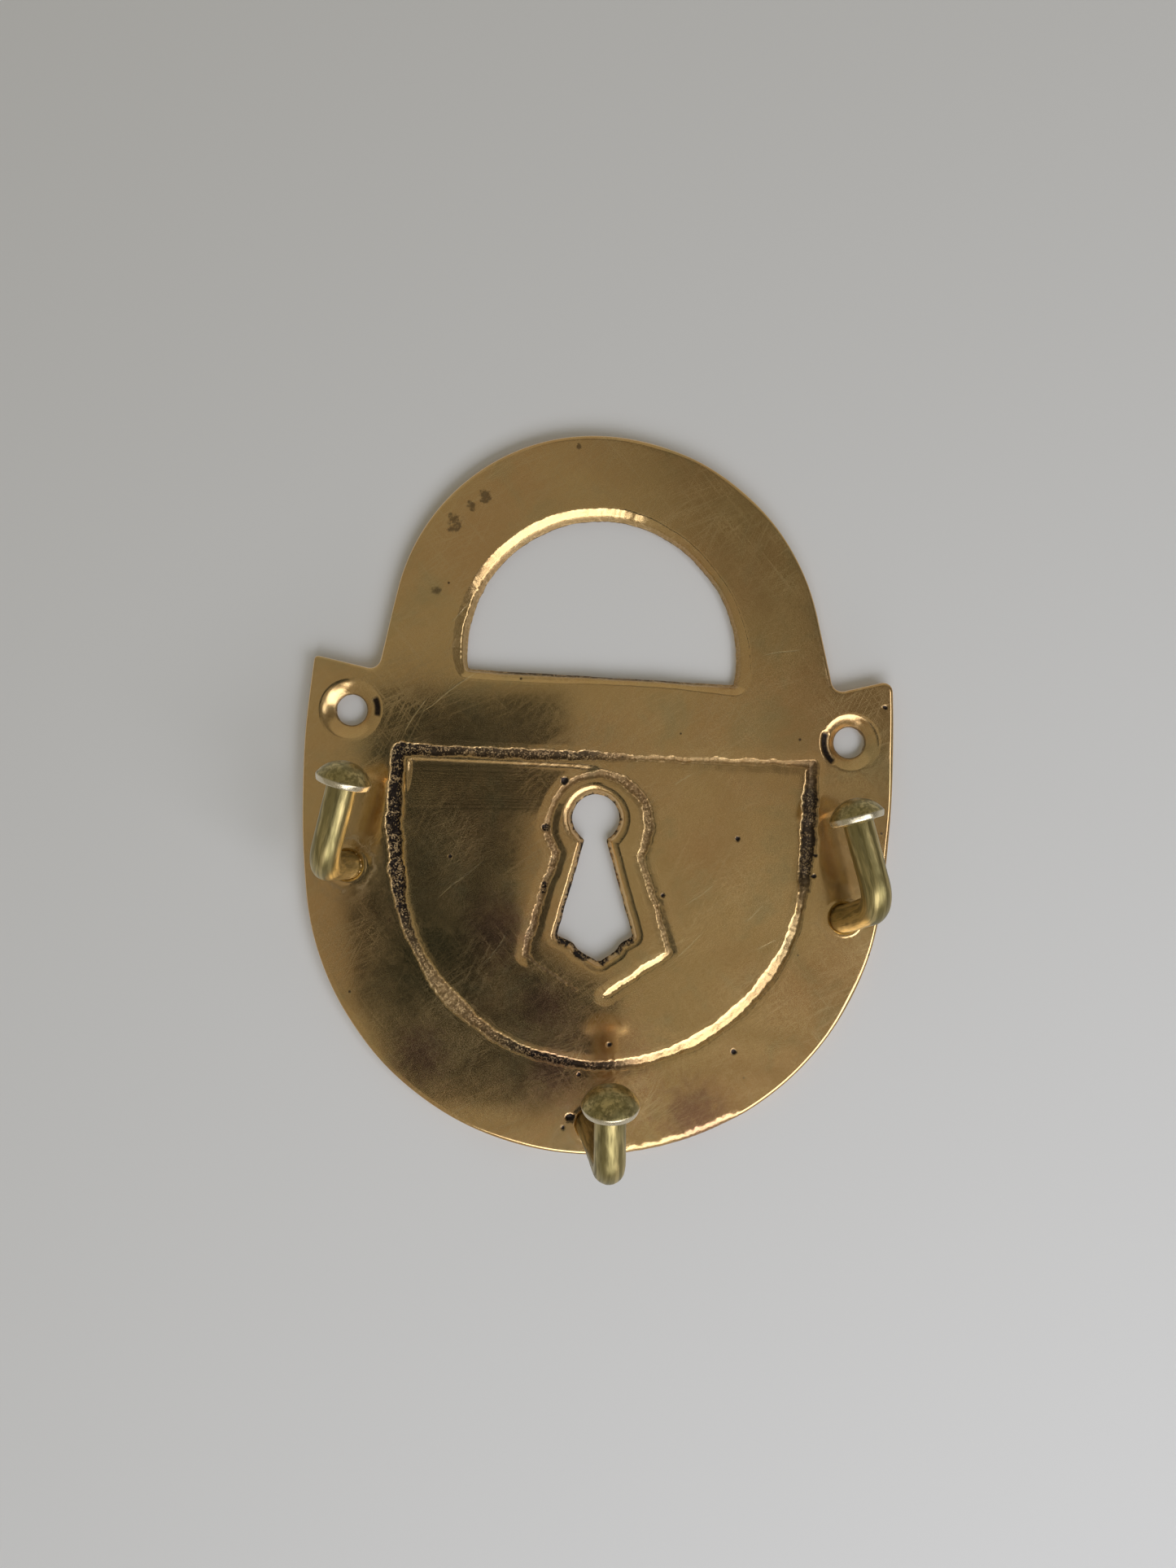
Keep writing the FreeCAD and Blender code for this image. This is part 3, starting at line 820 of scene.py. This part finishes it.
def path_through(points, radii, step=0.35):
    """Points along straight runs joined by arcs of the given radii."""
    line = [points[0]]
    for before, corner, after, r in zip(points, points[1:], points[2:], radii):
        a, b = (before - corner).normalized(), (after - corner).normalized()
        half = a.angle(b) / 2
        centre = corner + (a + b).normalized() * (r / math.sin(half))
        start, end = corner + a * (r / math.tan(half)), corner + b * (r / math.tan(half))
        turn = (start - centre).rotation_difference(end - centre)
        n = max(3, int(turn.angle * r / step))
        line += straight(line[-1], start, step)[1:-1]
        for k in range(n + 1):
            line.append(centre + Matrix.Rotation(turn.angle * k / n, 3, turn.axis) @ (start - centre))
    return line + straight(line[-1], points[-1], step)[1:]


def head_profile():
    """Radius, height over the seat and painted highlight, from the shank out under the head and over the
    dome.
    """
    rise = HEAD_H - HEAD_RIM_H
    dome_r = (HEAD_R**2 + rise**2) / (2 * rise)
    widest = math.asin(HEAD_R / dome_r)
    under = [(SHANK_R + 0.05, -0.25), (SHANK_R + 0.2, -0.08), (SHANK_R + 0.5, 0.0)]
    flat = [(r, 0.02) for r in np.linspace(SHANK_R + 0.9, HEAD_R - 0.7, 4)]
    belly = [
        (HEAD_R - 0.42, 0.04),
        (HEAD_R - 0.30, 0.10),
        (HEAD_R - 0.24, 0.20),
        (HEAD_R - 0.14, 0.50),
        (HEAD_R - 0.05, 0.82),
        (HEAD_R - 0.02, HEAD_RIM_H),
    ]
    dome = [
        (dome_r * math.sin(t), HEAD_H - dome_r + dome_r * math.cos(t)) for t in np.linspace(widest, 0.02, 26)
    ]
    # The head's rim band gets a pale painted highlight, and the flat underside a faint one
    sections = ((under, 0.0), (flat, 0.2), (belly, 1.0), (dome[1:], 0.0))
    return [(r, h, shine) for section, shine in sections for r, h in section]


# Radius and y of the peened tail's rings, from its middle out to its edge
TAIL_PROFILE = [
    (0.05, -0.03),
    (TAIL_R * 0.5, -0.02),
    (TAIL_R - 0.5, -0.02),
    (TAIL_R - 0.12, -0.05),
    (TAIL_R - 0.02, -0.12),
]


def hook_piece(name, root, bend, bend_reach, bend_r, seat, seat_reach, seed):
    """A bent rivet as one closed mesh, from its peened tail to the crown of its head."""
    corner = Vector((bend[0], -PLATE_T - bend_reach, bend[1]))
    under_head = Vector((seat[0], -PLATE_T - seat_reach, seat[1]))
    foot = Vector((root[0], -PLATE_T - FOOT_LIFT, root[1]))
    start = Vector((root[0], -TAIL_DEPTH, root[1]))
    line = path_through([start, foot, corner, under_head], [FOOT_BEND_R, bend_r])
    rings = [(Vector((root[0], y, root[1])), r, 0.0) for r, y in TAIL_PROFILE]
    rings += [(p, SHANK_R, 0.0) for p in line]
    axis = (under_head - corner).normalized()
    rings += [(under_head + axis * h, r, shine) for r, h, shine in head_profile()]
    return sweep(name, rings, axis, seed, first_head=len(TAIL_PROFILE) + len(line))


def sweep(name, rings, head_axis, seed, first_head, around=72):
    """A tube through rings of given centre, radius and painted highlight, closed at both ends, worn a little
    uneven.
    """
    centres = [c for c, _, _ in rings]
    wear = Noise(seed)
    angles = np.linspace(0, 2 * math.pi, around, endpoint=False)
    x, y = np.cos(angles), np.sin(angles)
    side = Vector((1, 0, 0))
    verts, grain, highlight_paint, run = [], [], [], 0.0
    for k, (centre, r, shine) in enumerate(rings):
        along = (centres[min(k + 1, len(rings) - 1)] - centres[max(k - 1, 0)]).normalized()
        on_tail, on_head = k < len(TAIL_PROFILE), k >= first_head
        if on_head:
            along = head_axis
        if on_tail:
            along = Vector((0, -1, 0))
        side = (side - along * side.dot(along)).normalized()
        other = along.cross(side)
        run += (centre - centres[max(k - 1, 0)]).length
        lumps = HOOK_WEAR * wear(x * 1.4 + run / 3.5, y * 1.4 + 7)
        lumps += HOOK_DENTS * wear(x * 4 + run, y * 4 + 90)
        scale = r + lumps * min(1.0, r / SHANK_R) * (not on_tail)
        verts += [tuple(centre + side * (s * cx) + other * (s * cy)) for s, cx, cy in zip(scale, x, y)]
        grain += [(r * cx, r * cy, run * (1.0 if on_head else 0.12)) for cx, cy in zip(x, y)]
        # How much pale painted highlight each ring gets
        highlight_paint += [shine] * around
    faces = []
    for k in range(len(rings) - 1):
        row = np.arange(k * around, (k + 1) * around)
        faces += strip(row, row + around).tolist()
    for first, centre in ((0, centres[0]), ((len(rings) - 1) * around, centres[-1])):
        faces += [(first + j, first + (j + 1) % around, len(verts)) for j in range(around)]
        verts.append(tuple(centre))
        grain.append((0.0, 0.0, grain[first][2]))
        highlight_paint.append(0.0)
    return mesh_piece(name, verts, faces, grain=np.array(grain), shine=np.array(highlight_paint))


# ---------------- materials
class Nodes:
    """A node tree under construction: each method adds a node and returns its output."""

    def __init__(self, tree):
        self.nodes, self.links = tree.nodes, tree.links

    def add(self, kind, inputs=(), **settings):
        node = self.nodes.new(kind)
        for key, value in settings.items():
            setattr(node, key, value)
        for key, value in dict(inputs).items():
            if isinstance(value, bpy.types.NodeSocket):
                self.links.new(value, node.inputs[key])
            else:
                node.inputs[key].default_value = value
        return node

    def maths(self, operation, a, b=0.0):
        return self.add("ShaderNodeMath", {0: a, 1: b}, operation=operation).outputs[0]

    def times(self, a, b):
        return self.maths("MULTIPLY", a, b)

    def total(self, *values):
        """The sum of several values."""
        return functools.reduce(lambda a, b: self.maths("ADD", a, b), values)

    def most(self, *values):
        """The largest of several values."""
        return functools.reduce(lambda a, b: self.maths("MAXIMUM", a, b), values)

    def vector(self, operation, a, b=(0, 0, 0), output="Vector"):
        return self.add("ShaderNodeVectorMath", {0: a, 1: b}, operation=operation).outputs[output]

    def ramp(self, value, low, high, to_low=0.0, to_high=1.0):
        """Maps a range of values onto another, smoothly and clamped."""
        inputs = {"Value": value, "From Min": low, "From Max": high, "To Min": to_low, "To Max": to_high}
        return self.add("ShaderNodeMapRange", inputs, interpolation_type="SMOOTHSTEP").outputs["Result"]

    def blend(self, share, a, b):
        """From colour a to colour b."""
        node = self.add("ShaderNodeMix", {"Factor": share}, data_type="RGBA")
        for socket, value in ((node.inputs[6], a), (node.inputs[7], b)):
            if isinstance(value, bpy.types.NodeSocket):
                self.links.new(value, socket)
            else:
                socket.default_value = (*value, 1.0)
        return node.outputs[2]


class Material(Nodes):
    """A new material, with no nodes but those that are added."""

    def __init__(self, name):
        self.material = bpy.data.materials.new(name)
        self.material.use_nodes = True
        super().__init__(self.material.node_tree)
        self.nodes.clear()

    def position(self):
        """Where the surface point is, in millimetres."""
        where = self.add("ShaderNodeTexCoord").outputs["Object"]
        return self.add("ShaderNodeVectorMath", {0: where, "Scale": 1 / MM}, operation="SCALE").outputs[0]

    def attribute(self, name, output="Fac"):
        return self.add("ShaderNodeAttribute", attribute_name=name).outputs[output]

    def stretched(self, where, turn_deg, scale):
        """Coordinates turned about Y and scaled, for grain that runs one way."""
        inputs = {"Vector": where, "Angle": math.radians(turn_deg)}
        turned = self.add("ShaderNodeVectorRotate", inputs, rotation_type="Y_AXIS")
        return self.vector("MULTIPLY", turned.outputs[0], scale)

    def noise(self, where, scale, detail=2.0, roughness=0.5, distortion=0.0):
        inputs = {"Vector": where, "Scale": scale, "Detail": detail, "Roughness": roughness}
        inputs["Distortion"] = distortion
        return self.add("ShaderNodeTexNoise", inputs).outputs["Fac"]

    def cells(self, where, scale, output):
        """Irregular cells: the distance from their middles, or a colour for each."""
        return self.add("ShaderNodeTexVoronoi", {"Vector": where, "Scale": scale}).outputs[output]

    def near(self, where, centre, size):
        """1 at a place on the plate, fading raggedly to 0 with the distance from it."""
        away = self.vector("ADD", where, (-centre[0], 0, -centre[1]))
        flat = self.vector("MULTIPLY", away, (1, 0, 1))
        ragged = self.times(self.noise(where, 0.7, 3.0, 0.6), size)
        distance = self.maths("ADD", self.vector("LENGTH", flat, output="Value"), ragged)
        return self.ramp(distance, size * 0.5, size * 1.5, 1.0, 0.0)

    def near_any(self, where, places):
        return self.most(*(self.near(where, centre, size) for centre, size in places))

    def finish(self, colour, roughness, metallic, height, depth):
        """A metal with marks so many millimetres deep in it."""
        bump = self.add("ShaderNodeBump", {"Height": height, "Strength": 1.0, "Distance": depth * MM})
        inputs = {"Base Color": colour, "Roughness": roughness, "Metallic": metallic}
        inputs["Normal"] = bump.outputs[0]
        shader = self.add("ShaderNodeBsdfPrincipled", inputs)
        self.add("ShaderNodeOutputMaterial", {"Surface": shader.outputs[0]})
        return self.material


GOLD = (0.77, 0.52, 0.236)
WARM = (0.73, 0.46, 0.21)
DULL = (0.62, 0.47, 0.235)
# Colour of a warm reddish reflection painted on the lower plate
WARM_REFLECTION_PAINT = (0.72, 0.42, 0.22)
PALE_GRAIN = (0.86, 0.70, 0.48)
HAIRLINE = (0.9, 0.68, 0.38)
SCRATCHED = (0.95, 0.8, 0.5)
TARNISH = (0.44, 0.235, 0.15)
DIRT = (0.036, 0.028, 0.025)
RUST = (0.16, 0.055, 0.022)
POLISH_RESIDUE = (0.46, 0.40, 0.30)
HOOK_BRASS, HOOK_BLOTCH = (0.60, 0.475, 0.21), (0.36, 0.295, 0.125)
HOOK_STREAK, HOOK_SPECK = (0.22, 0.18, 0.07), (0.18, 0.14, 0.06)
# Pale colour painted on each hook head's rim as a highlight
HOOK_HIGHLIGHT_PAINT = (0.85, 0.75, 0.56)

# Places on the plate, each a centre and a size
TARNISHED = [((-17, -37), 9), ((-8, -50), 7), ((-6, -62), 6), ((20, -69), 9), ((-30, -60), 8)]
STAINS = [
    ((-22.5, 40.3), 2.4),
    ((-25.0, 38.6), 2.2),
    ((-27.8, 35.3), 3.2),
    ((-30.5, 23), 2.0),
    ((-6, 50), 1.2),
]
# Where the warm reddish reflection is painted on the lower plate, and how far it reaches
WARM_REFLECTION_AT = ((0, -62), 19)
RUSTY = ((3.5, -26), 9)
CLEANEST = ((-27, -44), 15)
# The ends of each single scratch
SCRATCHES = [
    ((-29.5, -33.3), (-18.5, -24.0)),
    ((-15.0, -37.0), (-19.0, -44.0)),
    ((28.0, 14.0), (36.0, 15.5)),
    ((-35.5, -3.0), (-31.0, 4.5)),
    ((-33.0, 0.5), (-22.0, 9.5)),
    ((16.0, -32.0), (22.0, -27.0)),
    ((15.0, -41.5), (20.5, -36.0)),
    ((27.0, -34.5), (31.0, -30.5)),
    ((29.5, -39.0), (33.5, -36.5)),
    ((13.5, -10.5), (17.5, -7.5)),
    ((-28.0, 17.0), (-24.0, 22.0)),
]
# Directions of hand polishing: turn in degrees, fineness, and a shift that keeps them unlike
STROKES = ((38, 1.0, 0), (24, 0.85, 31), (-50, 1.1, 57), (66, 0.9, 83))
STROKES_PER_MM, STROKE_STRETCH = 7.0, 0.13


def scratch(m, where, start, end):
    """A single fine scratch from one place on the plate to another."""
    dx, dz = end[0] - start[0], end[1] - start[1]
    length = math.hypot(dx, dz)
    middle = (-(start[0] + end[0]) / 2, 0, -(start[1] + end[1]) / 2)
    away = m.vector("ADD", where, middle)
    along = m.vector("DOT_PRODUCT", away, (dx / length, 0, dz / length), "Value")
    across = m.vector("DOT_PRODUCT", away, (-dz / length, 0, dx / length), "Value")
    bow = m.times(m.maths("SUBTRACT", m.noise(where, 0.12, 1.0), 0.5), 1.5)
    line = m.ramp(m.maths("ABSOLUTE", m.maths("ADD", across, bow)), 0.03, 0.14, 1.0, 0.0)
    return m.times(line, m.ramp(m.maths("ABSOLUTE", along), length * 0.25, length * 0.5, 1.0, 0.0))


def strokes(m, where, low, high):
    """Hairlines of hand polishing, covering more as low falls."""
    layers = []
    for turn, fineness, shift in STROKES:
        moved = m.vector("ADD", where, (shift, 0, shift))
        scale = (STROKE_STRETCH, 1.0, STROKES_PER_MM * fineness)
        layers.append(m.ramp(m.noise(m.stretched(moved, turn, scale), 1.0, 0.0), low, high))
    return m.most(*layers)


def plate_brass():
    """Polished cast brass: cloudy colour, hairlines, scratches, tarnish, a painted warm reflection low down,
    and dirt in the cast lines.
    """
    m = Material("plate_brass")
    where = m.position()
    grime, rough, haze = m.attribute("grime"), m.attribute("rough"), m.attribute("haze")

    # The metal's own colour, with its tarnish, and a painted warm reddish reflection low down
    colour = m.blend(m.ramp(m.noise(where, 0.04, 3.0), 0.40, 0.66), GOLD, WARM)
    colour = m.blend(m.ramp(m.noise(where, 0.11, 4.0, 0.6, 0.5), 0.48, 0.75, 0.0, 0.8), colour, DULL)
    # A painted warm reddish reflection over the lower middle of the plate
    colour = m.blend(m.times(m.near(where, *WARM_REFLECTION_AT), 0.75), colour, WARM_REFLECTION_PAINT)
    colour = m.blend(m.times(m.near_any(where, TARNISHED), 0.8), colour, TARNISH)
    colour = m.blend(m.ramp(m.noise(where, 1.6, 4.0, 0.65), 0.5, 0.8, 0.0, 0.2), colour, TARNISH)

    # Marks of wear: pinpoints too fine to see one by one, hairlines, and single scratches
    fine = m.ramp(m.noise(where, 45.0, 0.0), 0.63, 0.69)
    fine = m.times(fine, m.ramp(m.near(where, *CLEANEST), 0.0, 1.0, 1.0, 0.45))
    patches = m.ramp(m.noise(where, 0.07, 2.0), 0.40, 0.65, 0.4, 1.0)
    hairs = m.times(strokes(m, where, 0.63, 0.76), patches)
    colour = m.blend(m.times(hairs, 0.38), colour, HAIRLINE)
    lines = m.most(*(scratch(m, where, *ends) for ends in SCRATCHES))
    colour = m.blend(m.times(lines, 0.6), colour, SCRATCHED)

    # Bare bright grains of the casting in the rough places, and dirt round them
    grains = m.ramp(m.cells(where, 4.6, "Color"), 0.2, 0.8)
    grains = m.maths("ADD", grains, m.ramp(m.noise(where, 0.8, 2.0), 0.3, 0.7, -0.25, 0.25))
    bare = m.times(m.ramp(grains, 0.72, 1.02, 0.0, 0.62), rough)
    colour = m.blend(m.times(bare, 0.35), colour, PALE_GRAIN)
    stain = m.times(m.near_any(where, STAINS), m.noise(where, 1.1, 4.0, 0.7))
    stain = m.times(m.ramp(stain, 0.22, 0.42), 0.6)
    speck = m.ramp(m.cells(where, 0.16, "Distance"), 0.03, 0.05, 0.8, 0.0)
    dirt = m.most(m.times(grime, m.maths("SUBTRACT", 1.0, bare)), speck, stain)
    rusty = m.times(m.ramp(m.noise(where, 0.9, 2.0), 0.40, 0.55), m.near(where, *RUSTY))
    colour = m.blend(m.times(haze, 0.55), colour, POLISH_RESIDUE)
    colour = m.blend(dirt, colour, m.blend(rusty, DIRT, RUST))

    roughness = m.total(
        m.ramp(m.noise(where, 0.25, 4.0, 0.6), 0.3, 0.75, 0.08, 0.115),
        m.times(fine, 0.38),
        m.times(hairs, 0.10),
        m.times(rough, 0.30),
        m.times(dirt, 0.25),
        m.times(haze, 0.3),
    )
    grain = m.times(m.noise(where, 4.6, 3.0, 0.75), rough)
    height = m.total(m.times(grain, 9.0), m.times(hairs, -0.15), m.times(lines, -0.8))
    return m.finish(colour, roughness, metallic=1.0, height=height, depth=0.012)


def hook_brass():
    """Drawn brass, yellower than the plate, with lengthways marks, darker blotches and a pale painted
    highlight round the rim of each head.
    """
    m = Material("hook_brass")
    grain, shine = m.attribute("grain", "Vector"), m.attribute("shine")
    fine = m.noise(grain, 3.2, 4.0, 0.65)
    blotch = m.ramp(m.noise(grain, 0.5, 3.0, 0.6, 0.4), 0.38, 0.60)
    streaks = m.ramp(m.noise(grain, 1.3, 2.0, 0.6), 0.46, 0.60, 0.0, 0.75)
    colour = m.blend(streaks, m.blend(blotch, HOOK_BRASS, HOOK_BLOTCH), HOOK_STREAK)
    colour = m.blend(m.ramp(fine, 0.52, 0.72, 0.0, 0.5), colour, HOOK_SPECK)
    # A pale painted highlight round the rim of each head, which is also made a little smoother there
    colour = m.blend(m.times(shine, 0.85), colour, HOOK_HIGHLIGHT_PAINT)
    roughness = m.maths("SUBTRACT", m.ramp(fine, 0.3, 0.7, 0.30, 0.46), m.times(shine, 0.1))
    return m.finish(colour, roughness, metallic=0.9, height=fine, depth=0.025)


# ---------------- studio
SHEET_COLOUR = (0.79, 0.795, 0.815, 1)
SHEET_HALF, SHEET_GAP = 1500, 0.4      # half the sheet's side, and its distance behind the plate
ROOM_LEVEL, ROOM_TINT = 0.275, (1.0, 0.93, 0.72)
WALL_LEVEL, WALL_TINT = 0.46, (1.0, 0.995, 0.985)
DAYLIGHT = (0.97, 0.99, 1.05)
# Each window: direction from the plate, long axis, distance and size in metres, and radiance
WINDOWS = {
    "window_right": ((0.56, -0.83, 0.03), (0, 0, 1), 1.0, (0.24, 0.24), 2.2),
    "window_below": ((0.39, -0.69, -0.61), (0.84, 0, 0.54), 0.6, (0.8, 0.31), 2.9),
}
DARK_CARD = (0.020, 0.026, 0.026, 1)
CARD_GAP = 3                           # how far behind the camera the dark card stands
# The places on the plate that mirror the card's corners
DARK_SHOWS_AT = [
    (-41, 5),
    (-6, 6),
    (-6, -8),
    (-13, -15),
    (-13, -36),
    (-4, -43),
    (6, -47),
    (5, -62),
    (-8, -71),
    (-31, -69),
    (-42, -52),
    (-44, -34),
    (-42, -10),
]


def camera():
    """The camera faces the plate squarely, rolled a little."""
    data = bpy.data.cameras.new("camera")
    data.lens, data.sensor_width, data.clip_start = LENS_MM, SENSOR_MM, CLIP_START
    obj = linked("camera", data)
    roll = math.radians(CAMERA_ROLL_DEG)
    right, up = (math.cos(roll), 0, math.sin(roll)), (-math.sin(roll), 0, math.cos(roll))
    place = Matrix((right, up, (0, -1, 0))).transposed().to_4x4()
    place.translation = Vector((CAMERA_AIM[0], -PLATE_T - CAMERA_DISTANCE, CAMERA_AIM[1])) * MM
    obj.matrix_world = place
    bpy.context.scene.camera = obj


def stage_face(name, corners, material):
    """A flat stage piece through corners in millimetres."""
    mesh = bpy.data.meshes.new(name)
    mesh.from_pydata([tuple(Vector(c) * MM) for c in corners], [], [range(len(corners))])
    mesh.materials.append(material)
    obj = linked(name, mesh)
    return obj


def sheet():
    """The pale surface behind the plate. It shows only to a camera in front of it and blocks no light."""
    m = Material("pale_sheet")
    shade = m.add("ShaderNodeBsdfDiffuse", {"Color": SHEET_COLOUR})
    clear = m.add("ShaderNodeBsdfTransparent")
    behind = m.add("ShaderNodeNewGeometry").outputs["Backfacing"]
    mix = m.add("ShaderNodeMixShader", {"Fac": behind, 1: shade.outputs[0], 2: clear.outputs[0]})
    m.add("ShaderNodeOutputMaterial", {"Surface": mix.outputs[0]})
    corners = [(x, SHEET_GAP, z) for x, z in ((-1, -1), (1, -1), (1, 1), (-1, 1))]
    obj = stage_face("pale_sheet", [(SHEET_HALF * x, y, SHEET_HALF * z) for x, y, z in corners], m.material)
    obj.visible_diffuse = obj.visible_glossy = obj.visible_shadow = False


def mirrored(x, z):
    """The point in the card's plane that the camera sees mirrored at a place on the plate."""
    return 2 * x - CAMERA_AIM[0], -PLATE_T - CAMERA_DISTANCE - CARD_GAP, 2 * z - CAMERA_AIM[1]


def dark_card():
    """A dark card beside the camera, which the left of the polished plate mirrors."""
    m = Material("dark_card")
    glow = m.add("ShaderNodeEmission", {"Color": DARK_CARD, "Strength": 1.0})
    m.add("ShaderNodeOutputMaterial", {"Surface": glow.outputs[0]})
    obj = stage_face("dark_card", [mirrored(x, z) for x, z in DARK_SHOWS_AT], m.material)
    obj.visible_camera = obj.visible_diffuse = obj.visible_shadow = False


def soft_light(name, direction, long_axis, distance, size, radiance):
    """A rectangular area light that faces the plate's middle."""
    data = bpy.data.lights.new(name, "AREA")
    data.shape = "RECTANGLE"
    data.size, data.size_y = size
    data.energy, data.color = radiance * math.pi * size[0] * size[1], DAYLIGHT
    away = Vector(direction).normalized()
    across = (Vector(long_axis) - away * away.dot(long_axis)).normalized()
    place = Matrix((across, away.cross(across), away)).transposed().to_4x4()
    place.translation = away * distance
    linked(name, data).matrix_world = place


def world():
    """A warm dim room, brighter overhead and dimmer to the right, and a pale wall behind the plate."""
    sky = bpy.data.worlds.new("studio")
    sky.use_nodes = True
    bpy.context.scene.world = sky
    m = Nodes(sky.node_tree)
    direction = m.add("ShaderNodeTexCoord").outputs["Generated"]

    def towards(axis, low, high, to_low, to_high):
        """A value that changes as the direction turns towards an axis."""
        share = m.vector("DOT_PRODUCT", direction, Vector(axis).normalized(), "Value")
        return m.ramp(share, low, high, to_low, to_high)

    def mix(share, a, b):
        return m.add("ShaderNodeMix", {"Factor": share, "A": a, "B": b}).outputs["Result"]

    upper_right = towards((0.8, 0, 0.6), 0.13, 0.24, 1.0, 0.5)
    right = towards((1, 0, 0), 0.15, 0.23, 1.0, 0.92)
    front = towards((0, -1, 0), -0.2, 0.9, 0.8 * ROOM_LEVEL, ROOM_LEVEL)
    ceiling = towards((0, 0, 1), 0.4, 0.6, 0.0, 1.35)
    room = m.times(m.times(m.most(upper_right, ceiling), right), front)
    behind = towards((0, 1, 0), -0.03, 0.03, 0.0, 1.0)
    seen = m.add("ShaderNodeLightPath").outputs["Is Camera Ray"]
    background = m.nodes["Background"]
    m.links.new(mix(seen, mix(behind, room, WALL_LEVEL), WALL_LEVEL), background.inputs["Strength"])
    m.links.new(m.blend(m.most(seen, behind), ROOM_TINT, WALL_TINT), background.inputs["Color"])


# ---------------- build
def build():
    plate = backplate_piece()
    plate.data.materials.append(plate_brass())
    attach(plate, "root")
    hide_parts("backplate")
    finish = hook_brass()
    for seed, (node, sizes) in enumerate(HOOKS.items(), start=100):
        hook = hook_piece(node + "_brass", *sizes, seed)
        hook.data.materials.append(finish)
        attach(hook, "root")
        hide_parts(node)
    sheet()
    dark_card()
    world()
    for name, light in WINDOWS.items():
        soft_light(name, *light)
    camera()
    bpy.context.scene.view_settings.view_transform = "Standard"


build()
